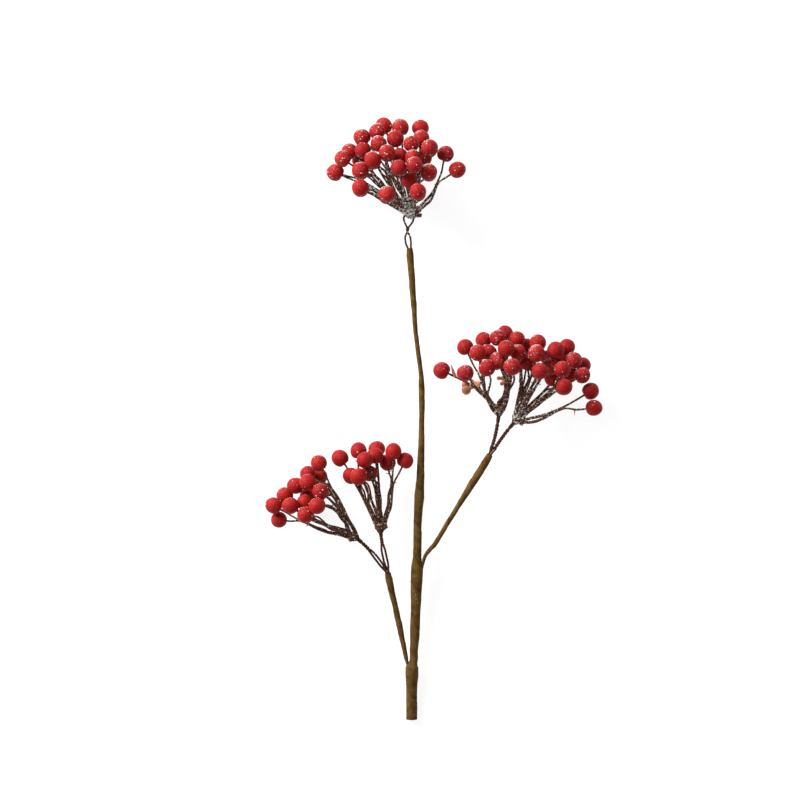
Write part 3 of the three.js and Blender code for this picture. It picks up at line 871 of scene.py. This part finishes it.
def turned_end(name, middle, outward, radius, profile, material):
    """A solid spun from a profile of shares of the radius and heights in millimetres along outward."""
    turn = Vector(outward).to_track_quat("Z", "Y")
    mesh = bmesh.new()
    rings = []
    for share, height in profile:
        angles = np.linspace(0, 2 * math.pi, END_SIDES, endpoint=False) if share else (0.0,)
        ring = []
        for angle in angles:
            flat = Vector((share * radius * math.cos(angle), share * radius * math.sin(angle), height * MM))
            spot = Vector(middle) + turn @ flat
            spot.z = max(spot.z, 0)
            ring.append(mesh.verts.new(spot))
        rings.append(ring)
    for lower, upper in zip(rings, rings[1:]):
        for i in range(END_SIDES):
            corners = [lower[i % len(lower)], lower[(i + 1) % len(lower)]]
            corners += [upper[(i + 1) % len(upper)], upper[i % len(upper)]]
            mesh.faces.new(list(dict.fromkeys(corners)))
    bmesh.ops.recalc_face_normals(mesh, faces=mesh.faces)
    data = bpy.data.meshes.new(name)
    mesh.to_mesh(data)
    mesh.free()
    data.materials.append(material)
    data.shade_smooth()
    piece = bpy.data.objects.new(name, data)
    bpy.context.scene.collection.objects.link(piece)
    return piece


ENDS = (
    ("stem_mouth", stem_line[-1], stem_line[-1] - stem_line[-END_LENGTH], STEM_MOUTH, MOUTH_PROFILE),
    ("right_mouth", right_line[-1], right_line[-1] - right_line[-END_LENGTH], RIGHT_MOUTH, MOUTH_PROFILE),
    ("left_mouth", left_line[-1], left_line[-1] - left_line[-END_LENGTH], LEFT_MOUTH, MOUTH_PROFILE),
    ("stem_cut_end", stem_line[0], stem_line[0] - stem_line[END_LENGTH], CUT_RADIUS, CUT_PROFILE),
)
for name, middle, outward, radius, profile in ENDS:
    finished(turned_end(name, middle, outward, radius, profile, WOUND_TAPE), "stem_tape")

# %% [markdown]
# The steel core keeps the stem straight. Only its snipped end shows, in the middle of the cut.

# %% Steel core
CORE_RADIUS = 0.6 * MM
CORE_TOP = 80 * MM
CORE_SIDES = 16
CORE_SCRATCH = 0.03 * MM
CORE_EVERY = 4

core_line = stem_line[stem_line[:, 1] < CORE_TOP][::CORE_EVERY]
core_lines = line_mesh("stem_core_wire", [strand(core_line, CORE_RADIUS)])
core = grown(
    "stem_core_wire", core_lines, STRAND_TREE, Sides=CORE_SIDES, Bark=CORE_SCRATCH, Material=CORE_STEEL,
)
finished(core, "core_steel", "stem_core")

# %% [markdown]
# ## Bunches
# The construction has each berry as a rough ball. Every flat face of such a ball has its corners on the
# sphere, so a face and the berry's radius give the sphere's middle. Faces that were cut by a neighbour give
# stray middles, and those get no second vote.

# %% Where the berries are
BERRY_RADIUS = 5 * MM
SAME_MIDDLE = 0.05 * MM
SAME_BERRY = BERRY_RADIUS / 5
FEWEST_VOTES = 6
SMALLEST_FACE = 1e-16


def berry_middles(node):
    """The middles of a bunch's berries, each voted for by the faces of its rough ball."""
    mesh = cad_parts[node].data
    mesh.calc_loop_triangles()
    spots = np.array([vertex.co for vertex in mesh.vertices])
    corners = spots[np.array([triangle.vertices for triangle in mesh.loop_triangles])]
    first = corners[:, 1] - corners[:, 0]
    second = corners[:, 2] - corners[:, 0]
    normal = np.cross(first, second)
    size = (normal**2).sum(1)
    sound = size > SMALLEST_FACE
    corners, first, second, normal, size = (part[sound] for part in (corners, first, second, normal, size))
    swing = np.cross(normal, first) * (second**2).sum(1)[:, None]
    swing = swing + np.cross(second, normal) * (first**2).sum(1)[:, None]
    swing = swing / (2 * size[:, None])
    depth = BERRY_RADIUS**2 - (swing**2).sum(1)
    fits = depth > 0
    inward = normal[fits] / np.sqrt(size[fits])[:, None] * np.sqrt(depth[fits])[:, None]
    votes = corners[fits, 0] + swing[fits] - inward
    tree = KDTree(len(votes))
    for index, vote in enumerate(votes):
        tree.insert(vote, index)
    tree.balance()
    agreeing = [[index for _, index, _ in tree.find_range(vote, SAME_MIDDLE)] for vote in votes]
    middles = []
    for group in sorted(agreeing, key=len, reverse=True):
        middle = votes[group].mean(0)
        apart = [np.linalg.norm(middle - other) for other in middles]
        if len(group) >= FEWEST_VOTES and min(apart, default=BERRY_RADIUS) > SAME_BERRY:
            middles.append(middle)
    return np.array(middles)


# %% [markdown]
# Each bunch hangs on its tie. A berry belongs to the limb whose direction is nearest to its own, and on a
# limb a berry far out and its nearest neighbours share one twig, by the same rules as in the construction.

# %% Berries that share a twig
BERRIES_PER_TWIG = 3
TWIG_SPREAD = 22 * MM
TWIG_PITCH = 2 * MM
LIMB_WIDTH = 5 * MM
FULL_LIMB = 3
SAME_LENGTH = 5


def twig_groups(berries, tie):
    """The outermost berry left and its nearest neighbours, again and again."""
    reach = np.linalg.norm(berries - tie, axis=1)
    order = sorted(range(len(berries)), key=lambda i: (-round(reach[i], SAME_LENGTH), -berries[i][2]))
    remaining = [berries[i] for i in order]
    groups = []
    while remaining:
        tip = remaining.pop(0)
        far = [round(float(np.linalg.norm(berry - tip)), SAME_LENGTH) for berry in remaining]
        nearest = sorted(range(len(remaining)), key=lambda i: far[i])[: BERRIES_PER_TWIG - 1]
        nearest = [i for i in nearest if far[i] < TWIG_SPREAD]
        groups.append([tip] + [remaining[i] for i in nearest])
        remaining = [berry for i, berry in enumerate(remaining) if i not in nearest]
    return groups


def turned_left(vector):
    """A flat vector turned a quarter to the left."""
    return np.array((-vector[1], vector[0], 0.0))


def limb_twigs(berries, head):
    """Each twig's berries with its limb's fork, its own lane there and whether the limb has few twigs."""
    forks = [np.array((*fork, 0.0)) * MM for fork in head["limbs"]]
    nearest = np.argmax([(berries - head["tie"]) @ unit(fork) for fork in forks], axis=0)
    twigs = []
    for index, fork in enumerate(forks):
        groups = twig_groups(berries[nearest == index], head["tie"])
        groups.sort(key=lambda group: turned_left(fork) @ unit(group[0] - head["tie"]))
        gaps = len(groups) - 1
        pitch = min(TWIG_PITCH, LIMB_WIDTH / max(gaps, 1))
        paired = len(groups) < FULL_LIMB
        twigs += [(group, fork, (order - gaps / 2) * pitch, paired) for order, group in enumerate(groups)]
    return twigs


# %% [markdown]
# The strand is folded round the knot, runs along its limb beside the others and out to the berry at its tip.
# The stalks of the other berries leave it at forks, first along it and then across.

# %% Bends of a twig
LIMB_SHARE = 0.6
STALK_END = 0.45
LEAVING = (0.22, 0.12)
CROSSING = (0.1, 0.6)
FOLD = ((-0.5, -0.6), (-1, -0.1), (-0.35, 0.95))
WAVER = 0.25 * MM


def fork_point(way, fork, lane):
    """Where a twig leaves its limb: a twig that stands up from the sprig takes the straighter way."""
    reach = np.linalg.norm(way)
    share = min(1.0, LIMB_SHARE * reach / np.linalg.norm(fork))
    spot = fork * share + unit(turned_left(fork)) * lane
    spot[2] = way[2] / 2
    return spot + (way / 2 - spot) * (way[2] / reach) ** 2


def bezier(start, bend, end, count):
    share = np.linspace(0, 1, count)[:, None]
    return (1 - share) ** 2 * start + 2 * (1 - share) * share * bend + share**2 * end


def sunk_end(berry, origin):
    """Where a stalk that comes from origin ends inside a berry."""
    return berry + unit(origin - berry) * STALK_END * BERRY_RADIUS


def stalk_route(twig, fork, berry):
    """The way of a side stalk from its fork on a twig to its berry: first along the twig, then across."""
    at = round(fork * (len(twig) - 1))
    ahead = unit(twig[at + 1] - twig[at])
    end = sunk_end(berry, twig[at])
    way = end - twig[at]
    reach = np.linalg.norm(way)
    shares = (LEAVING, CROSSING)
    bends = [twig[at] + ahead * reach * along + way * across for along, across in shares]
    return [*bends, end]


def knot_route(head, out):
    """How a strand is folded round the underside of the knot before it leaves on one side."""
    tie, ahead = head["tie"], head["ahead"]
    half_width, half_length = head["knot"] - head["strand"]
    return [tie + ahead * half_length * along + out * half_width * across for along, across in FOLD]


def wavering(route, draw):
    """The inner points of a route moved a little, because no moulded twig is quite straight."""
    route = np.array(route)
    route[1:-1] += draw.normal(0, WAVER, route[1:-1].shape)
    return route


# %% [markdown]
# Where a limb has few twigs, the first of the side stalks runs beside its twig from the knot on. A berry
# alone on its twig has a stalk that splits and closes again.

# %% Strands of a twig
ROOT_SHARE = 0.6
ROOT_SPREAD = 1.6
ROOT_DEPTH = 0.75
BESIDE = 1.8 * MM
FORKS = (0.42, 0.55)
SPLIT_AT = 0.45
SPLIT_APART = 2.4 * MM
TWIG_POINTS = 41
ROUTE_FROM = 4
ROUTE_STEP = 6
STRAND_STEP = 0.9 * MM
STALK_THICK = 0.6 * MM
THINNER = (0.25, 0.75)
KNOT_REACH = (4 * MM, 12 * MM)


def twig_routes(twig, head):
    """The routes of a twig's strands, each from the knot or a fork to its berry."""
    (tip, *others), fork, lane, paired = twig
    tie, ahead = head["tie"], head["ahead"]
    leaves = fork_point(tip - tie, fork, lane)
    way = unit(leaves)
    out = unit(way - ahead * (way @ ahead))
    lean = min(1.0, ROOT_SPREAD * float(way @ out))
    half_width, half_length = head["knot"] * ROOT_DEPTH
    root = tie + out * lean * half_width + ahead * math.sqrt(1 - lean**2) * half_length
    root = root + unit(turned_left(fork)) * lane * ROOT_SHARE
    bend = 2 * (tie + leaves) - (root + tip) / 2
    middle = bezier(root, bend, sunk_end(tip, bend), TWIG_POINTS)
    folded = knot_route(head, out)
    routes = [[*folded, *middle[:-1:ROUTE_STEP], middle[-1]]]
    side = sides_of(middle)[1]
    for order, (share, berry) in enumerate(zip(FORKS, others)):
        at = round(share * (TWIG_POINTS - 1))
        before = [middle[at - ROUTE_FROM]]
        if paired and order == 0:
            beside = side[at] * math.copysign(BESIDE, side[at] @ (berry - middle[at]))
            before = [point + beside for point in (folded[-1], *middle[: at - ROUTE_FROM : ROUTE_STEP])]
        routes.append([*before, *stalk_route(middle, share, berry)])
    if not others:
        at = round(SPLIT_AT * (TWIG_POINTS - 1))
        halfway = (middle[at] + middle[-1]) / 2 + side[at] * SPLIT_APART
        routes.append([middle[at - ROUTE_FROM], halfway, middle[-1]])
    return routes


def twig_strand(route, head, draw):
    """One strand, thinner towards its berry and more frosted near the knot."""
    points = smooth_line(wavering(route, draw), STRAND_STEP)
    far = np.linalg.norm(points - head["tie"], axis=1)
    near = 1 - smoothstep(far / far[-1], *THINNER)
    thick = STALK_THICK + (head["strand"] - STALK_THICK) * near
    at_knot = 1 - smoothstep(far, *KNOT_REACH)
    frost = head["twig_frost"] + (head["frost"] * head["knot_frost"] - head["twig_frost"]) * at_knot
    return strand(points, thick, frost)


# %% [markdown]
# ## Binding wires
# Each bunch has a tie, which is the middle of its knot, the half width and half length of the knot, and the
# places where its limbs fork, seen from the tie. Its wire comes out of a tape's mouth and goes by a bend to
# the tie. The wire's legs have three distances: in the mouth, on the way and twisted. The twist is a number
# of half turns between two shares of the way. Lengths are in millimetres, and frost is a share of the most.
# What the two bunches of a branch have in common is written once.

# %% The five bunches
LEG_APART = 0.65
SIDE_BUNCH = {"eye": (1.7, 4), "mouth_turn": 0.5, "wire": 0.66}
RIGHT_BUNCH = {
    **SIDE_BUNCH, "line": right_line, "strand": 0.92,
    "apart": (LEG_APART, 0.6, 0.55), "twist": (9, 0.02, 0.95),
}
LEFT_BUNCH = {**SIDE_BUNCH, "line": left_line, "strand": 1.0, "wire_frost": 0.04}
HEADS = (
    {
        "name": "crown", "tie": CROWN_TIE, "knot": (5, 3.5), "line": stem_line,
        "limbs": (
            (-20.5, 10.9), (-20, 16), (-14.5, 17.5), (-9, 17),
            (-5, 18), (2, 16), (5, 16), (15, 15.8),
        ),
        "bend": (-17.2, 112.5), "eye": (2.8, 9), "mouth_side": 0, "mouth_turn": 0, "apart": (0.9, 1.6, 0.5),
        "twist": (1, 0.66, 0.98), "wire": 0.6, "strand": 0.86, "frost": 1.0,
        "twig_frost": 0.34, "knot_frost": 1.0, "wire_frost": 0.7, "seed": 11,
        "stubs": ((6.4, -1.8, 3.2), (6.0, 1.4, 3.6), (5.0, 3.4, 2.4)),
    },
    {
        "name": "right_inner", "tie": (39.4, 5.7, 28.4), "knot": (3.3, 3.6),
        "limbs": ((-11.2, 12.8), (5.5, 17.2)),
        **RIGHT_BUNCH, "bend": (37.6, -12), "mouth_side": -LEG_APART,
        "frost": 0.85, "twig_frost": 0.22, "knot_frost": 0.4, "wire_frost": 0.05, "seed": 23,
        "stubs": ((-2.6, -2.4, 1.4),),
    },
    {
        "name": "right_outer", "tie": (50.5, 0.3, 28.4), "knot": (3.4, 3.3),
        "limbs": ((2.4, 24), (9, 21), (17, 14.5), (21.7, 4.4)),
        **RIGHT_BUNCH, "bend": (41.5, -9), "mouth_side": LEG_APART,
        "frost": 0.95, "twig_frost": 0.22, "knot_frost": 0.6, "wire_frost": 0.2, "seed": 37,
        "stubs": ((3.4, -1.6, 2.2),),
    },
    {
        "name": "left_low", "tie": (-48.4, -69.9, 26.4), "knot": (3.2, 3.7),
        "limbs": ((-13.3, 24.4), (-23.2, 7.6)),
        **LEFT_BUNCH, "bend": (-36.5, -78.5), "mouth_side": -LEG_APART,
        "apart": (LEG_APART, 0.95, 0.5), "twist": (4, 0.6, 0.95),
        "frost": 0.25, "twig_frost": 0.1, "knot_frost": 0.5, "seed": 41,
        "stubs": ((-2.0, -3.0, 1.6),),
    },
    {
        "name": "left_high", "tie": (-32.2, -64.5, 19.4), "knot": (3.4, 3.7),
        "limbs": ((-10.6, 22.2), (-1.2, 19), (6.3, 21.6)),
        **LEFT_BUNCH, "bend": (-31, -79), "mouth_side": LEG_APART,
        "apart": (LEG_APART, 1.1, 0.5), "twist": (4, 0.68, 0.95),
        "frost": 0.2, "twig_frost": 0.1, "knot_frost": 0.8, "seed": 59,
        "stubs": ((3.2, -1.0, 1.4),),
    },
)


# %% [markdown]
# A wire is bent to a hairpin: up one leg, round a loop that sits in the knot, and back down the other leg,
# with the legs twisted round each other on the way.

# %% The way of a wire
SPREAD_END = 0.3
DRAW_IN = (-0.15, 0.1)
EYE_TOP = 0.06
EYE_HALF = ((1, -0.55), (0.92, -0.18), (0.45, EYE_TOP))
SOCKET_DEPTH = 6 * MM
LEG_POINTS = 60
BEND_POINTS = 200
MIDDLE_STEP = 0.1 * MM


def wire_middle(head):
    """The line between the legs of a wire, from the mouth of the tape to the tie."""
    mouth = head["line"][-1]
    out = unit(end_way(head["line"]))
    side = unit(np.cross(out, UP))
    start = mouth + side * head["mouth_side"] * MM
    tie = np.array(head["tie"]) * MM
    bend = np.array((*(np.array(head["bend"]) * MM), (start[2] + tie[2]) / 2))
    return start, bend, tie, out


def wire_route(head):
    """The points that a wire goes through, from one hidden end to the other."""
    start, bend, tie, out = wire_middle(head)
    middle = evenly(bezier(start, bend, tie, BEND_POINTS), MIDDLE_STEP)
    ahead, side = sides_of(middle)
    top = np.cross(side, ahead)
    eye_half, eye_length = np.array(head["eye"]) * MM
    leg_share = 1 - eye_length / lengths_along(middle)[-1]
    half_turns, twist_from, twist_to = head["twist"]
    shares = np.linspace(0, 1, LEG_POINTS)
    leaving = smoothstep(shares, 0, SPREAD_END)
    turn = head["mouth_turn"] * (1 - leaving) + half_turns * smoothstep(shares, twist_from, twist_to)
    in_mouth, on_the_way, twisted = head["apart"]
    spread = in_mouth + (on_the_way - in_mouth) * leaving
    closing = smoothstep(shares, twist_from + DRAW_IN[0], twist_from + DRAW_IN[1])
    apart = (spread + (twisted - spread) * closing) * MM
    at = np.round(shares * leg_share * (len(middle) - 1)).astype(int)
    swing = side[at] * np.cos(turn * math.pi)[:, None] + top[at] * np.sin(turn * math.pi)[:, None]
    legs = [middle[at] + sign * swing * apart[:, None] for sign in (1, -1)]
    legs = [np.vstack((leg[0] - out * SOCKET_DEPTH, leg)) for leg in legs]
    first_side = math.copysign(1, math.cos(half_turns * math.pi))
    half = [(across * first_side, along) for across, along in EYE_HALF]
    loop = half + [(-across, along) for across, along in reversed(half)]
    eye = [tie + side[-1] * across * eye_half + ahead[-1] * along * eye_length for across, along in loop]
    return np.vstack((legs[0], eye, legs[1][::-1]))


for head in HEADS:
    _, bend, tie, _ = wire_middle(head)
    head["ahead"] = unit(tie - bend)

# %% Making the wires
WIRE_SIDES = 10
WIRE_PITCH = 1.5 * MM
WIRE_LAP = 0.09 * MM
WIRE_CREPE = 0.12 * MM
WIRE_STEP = 0.35 * MM
SEED_SHARE = 0.1

for head in HEADS:
    name = head["name"] + "_wire_covered"
    line = smooth_line(wire_route(head), WIRE_STEP)
    lines = line_mesh(name, [strand(line, head["wire"] * MM, head["wire_frost"])])
    wire = grown(
        name, lines, TAPE_TREE, Sides=WIRE_SIDES, Pitch=WIRE_PITCH, Lap=WIRE_LAP, Crepe=WIRE_CREPE,
        Seed=SEED_SHARE * head["seed"], Material=WIRE_COVER,
    )
    head["wire_piece"] = finished(wire, "binding_wire", head["name"] + "_wire")

# %% [markdown]
# ## Putting the bunches together
# Now each bunch is made: its strands with the lump of the knot, its berries, and the frost on both.

# %% Points for the berries
SIZE_SPREAD = 0.03
WIDTH_SPREAD = 0.03
LENGTH_SPREAD = (-0.02, 0.09)
LEAST_FROST = 0.1
LEAST_POWDER = 0.12


def berry_points(name, middles, stalks, level, draw):
    """A mesh of one loose point for each berry, with its stalk's direction, size and tone."""
    count = len(middles)
    mesh = bpy.data.meshes.new(name)
    mesh.from_pydata(middles.tolist(), [], [])
    size = BERRY_RADIUS * (1 + SIZE_SPREAD * draw.uniform(-1, 1, (count, 1)))
    widths = 1 + WIDTH_SPREAD * draw.uniform(-1, 1, (count, 2))
    length = 1 + draw.uniform(*LENGTH_SPREAD, (count, 1))
    sizes = size * np.hstack((widths, length))
    frost = level * draw.uniform(LEAST_FROST, 1, count) ** 2
    mesh.attributes.new("stalk", "FLOAT_VECTOR", "POINT").data.foreach_set("vector", stalks.ravel())
    mesh.attributes.new("size", "FLOAT_VECTOR", "POINT").data.foreach_set("vector", sizes.ravel())
    mesh.attributes.new("tone", "FLOAT", "POINT").data.foreach_set("value", draw.uniform(0, 1, count))
    mesh.attributes.new("frost", "FLOAT", "POINT").data.foreach_set("value", frost)
    sprayed = LEAST_POWDER + (1 - LEAST_POWDER) * frost
    mesh.attributes.new("sprayed", "FLOAT", "POINT").data.foreach_set("value", sprayed)
    return mesh


# %% Knots, cut ends and thorns
KNOT_FILL = 0.75
KNOT_RINGS = 13
KNOT_TIP = 0.03
STUB_THICK = 1.2 * MM
STUB_FROST = 0.2
THORN_SHARE = 0.35
THORN_PLACE = (0.5, 0.85)
THORN_LEAN = (0.2, 0.8)
THORN_LENGTH = (1.4 * MM, 2.6 * MM)
THORN_THICK = 0.42 * MM
THORN_TIP = 0.2
THORN_RINGS = 5
THORN_FROST = 0.5


def knot_lump(head):
    """A short thick strand that fills the knot."""
    half_width, half_length = head["knot"]
    shares = np.linspace(-1, 1, KNOT_RINGS)
    points = head["tie"] + np.outer(shares * half_length * KNOT_FILL, head["ahead"])
    thick = np.sqrt(np.clip(1 - shares**2, KNOT_TIP, 1)) * half_width * KNOT_FILL
    return strand(points, thick, head["frost"] * head["knot_frost"])


def cut_stub(head, end):
    """The cut end of a strand that sticks out of the knot."""
    points = np.linspace(head["tie"], head["tie"] + np.array(end) * MM, KNOT_RINGS)
    return strand(points, STUB_THICK, STUB_FROST * head["frost"])


def thorn(points, head, draw):
    """A short spike on the outer half of a strand."""
    at = int(draw.uniform(*THORN_PLACE) * (len(points) - 1))
    ahead, side = sides_of(points)
    way = ahead[at] * draw.uniform(*THORN_LEAN) + side[at] * draw.choice((-1, 1))
    end = points[at] + unit(way) * draw.uniform(*THORN_LENGTH)
    line = np.linspace(points[at], end, THORN_RINGS)
    thick = np.linspace(THORN_THICK, THORN_TIP * THORN_THICK, THORN_RINGS)
    return strand(line, thick, THORN_FROST * head["frost"])


# %% Making the bunches
BERRY_FINENESS = 4
BERRY_DIMPLE = 0.12
BERRY_LUMPS = 0.5 * MM
STRAND_SIDES = 9
BARK_HEIGHT = 0.36 * MM

for head in HEADS:
    draw = np.random.default_rng(head["seed"])
    head["tie"] = np.array(head["tie"]) * MM
    head["knot"] = np.array(head["knot"]) * MM
    head["strand"] *= MM
    middles = berry_middles(head["name"] + "_head")
    plan = limb_twigs(middles, head)
    routes = [route for twig in plan for route in twig_routes(twig, head)]
    strands = [twig_strand(route, head, draw) for route in routes]
    ends = np.array([one["points"][-1] for one in strands])
    arrivals = np.array([end_way(one["points"]) for one in strands])
    nearest = [np.linalg.norm(ends - middle, axis=1).argmin() for middle in middles]
    thorny = [one for one in strands if draw.uniform() < THORN_SHARE]
    small = [thorn(one["points"], head, draw) for one in thorny]
    small += [cut_stub(head, end) for end in head["stubs"]]
    name = head["name"] + "_twigs"
    lines = line_mesh(name, [*strands, *small, knot_lump(head)])
    twigs = grown(name, lines, STRAND_TREE, Sides=STRAND_SIDES, Bark=BARK_HEIGHT, Material=TWIG_PLASTIC)
    head["twigs"] = finished(twigs, "twig_brown")
    head["strand_points"] = np.vstack([one["points"] for one in strands])
    name = head["name"] + "_berries"
    points = berry_points(name, middles, -arrivals[nearest], head["frost"], draw)
    berries = grown(
        name, points, BERRY_TREE, Fineness=BERRY_FINENESS, Dimple=BERRY_DIMPLE, Lumps=BERRY_LUMPS,
        Material=BERRY_PAINT,
    )
    head["berries"] = finished(berries, "berry_red", head["name"] + "_head")
    print(head["name"], len(middles), "berries on", len(strands), "strands")

# %% [markdown]
# A few buds, bracts and fibres on the bunches missed the brown paint and show the peach plastic. Each is a
# short line that sits on the strand nearest to its place and gets thick where the bud is.

# %% Bare tips
TIP_RINGS = 25
TIP_SIDES = 12
TIP_BARK = 0.2 * MM
TIP_TAPER = 0.85
TIP_CLOSED = 0.98
BARE_TIPS = (
    ("right_inner", (-13.5, 14.5), (-19.9, 11.7), 2.9, 1.3),
    ("right_inner", (-12.3, 15.7), (-20.4, 15.2), 2.3, 2.4),
    ("right_inner", (4.0, 18.4), (-0.4, 18.9), 1.2, 2.2),
    ("right_inner", (4.0, 17.4), (1.4, 15.6), 1.2, 1.9),
    ("right_inner", (-26.0, 21.5), (-29.2, 27.6), 0.0, 1.3),
    ("right_inner", (-26.5, 21.5), (-29.8, 21.9), 0.0, 0.6),
    ("right_outer", (33.5, 4.5), (34.0, 1.4), 0.0, 0.5),
    ("left_high", (-17.0, 39.0), (-14.6, 43.6), 0.0, 0.3),
    ("left_high", (-16.0, 38.0), (-17.4, 42.0), 0.0, 0.3),
    ("left_high", (4.0, 32.0), (7.6, 34.2), 0.0, 0.35),
    ("left_high", (5.5, 31.0), (7.8, 28.4), 0.0, 0.35),
)


def bare_tip(seat, end, ball, stalk):
    """A stalk from its seat that ends in a ball, or a spike where the ball has no radius."""
    way = np.array((*end, seat[2])) - seat
    length = np.linalg.norm(way)
    shares = np.linspace(0, 1, TIP_RINGS)
    from_ball = (shares * (length + ball) - length) / max(ball, STALK_THICK)
    thick = ball * np.sqrt(np.clip(1 - from_ball**2, 0, 1))
    spike = stalk * (1 - TIP_TAPER * shares)
    points = seat + np.outer(shares * (length + TIP_CLOSED * ball), unit(way))
    return strand(points, np.maximum(thick, spike))


for head in HEADS:
    tips = []
    for name, place, end, ball, stalk in BARE_TIPS:
        if name == head["name"]:
            off = head["strand_points"][:, :2] - head["tie"][:2] - np.array(place) * MM
            seat = head["strand_points"][np.linalg.norm(off, axis=1).argmin()]
            tips.append(bare_tip(seat, head["tie"][:2] + np.array(end) * MM, ball * MM, stalk * MM))
    if tips:
        name = head["name"] + "_bare_tips"
        lines = line_mesh(name, tips)
        bare = grown(name, lines, STRAND_TREE, Sides=TIP_SIDES, Bark=TIP_BARK, Material=BARE_TIP)
        finished(bare, "bare_tip")

# %% [markdown]
# Frost comes in two sizes. Fine rime whitens the rims that faced the spray, and coarse grit sticks anywhere,
# most of all on the twigs and the knots.

# %% Frost on the bunches
RIME = {"Density": 24e6, "Smallest": 0.08 * MM, "Largest": 0.24 * MM, "Spray": 1.0, "Facing": 0.55}
GRIT = {"Density": 3.2e5, "Smallest": 0.16 * MM, "Largest": 0.6 * MM, "Spray": 0.5, "Facing": -0.2}
TWIG_GRIT = {"Density": 0.8e6, "Smallest": 0.16 * MM, "Largest": 0.6 * MM, "Spray": 0.4, "Facing": -0.4}
FLECKS = {"Density": 1.6e5, "Smallest": 0.12 * MM, "Largest": 0.36 * MM, "Spray": 0.0, "Facing": -1.0}
FLECK_SEED = 5
FROSTS = (
    ("rime_on_berries", "berries", RIME),
    ("grit_on_berries", "berries", GRIT),
    ("grit_on_twigs", "twigs", TWIG_GRIT),
    ("grit_on_wire", "wire_piece", TWIG_GRIT),
)

surface = tapes["main_stem"].data.copy()
flecks = grown("main_stem_flecks", surface, FROST_TREE, Seed=FLECK_SEED, Material=FROST_GRAINS, **FLECKS)
finished(flecks, "frost")
for head in HEADS:
    for label, part, amounts in FROSTS:
        surface = head[part].data.copy()
        name = head["name"] + "_" + label
        frost = grown(name, surface, FROST_TREE, Seed=head["seed"], Material=FROST_GRAINS, **amounts)
        finished(frost, "frost")
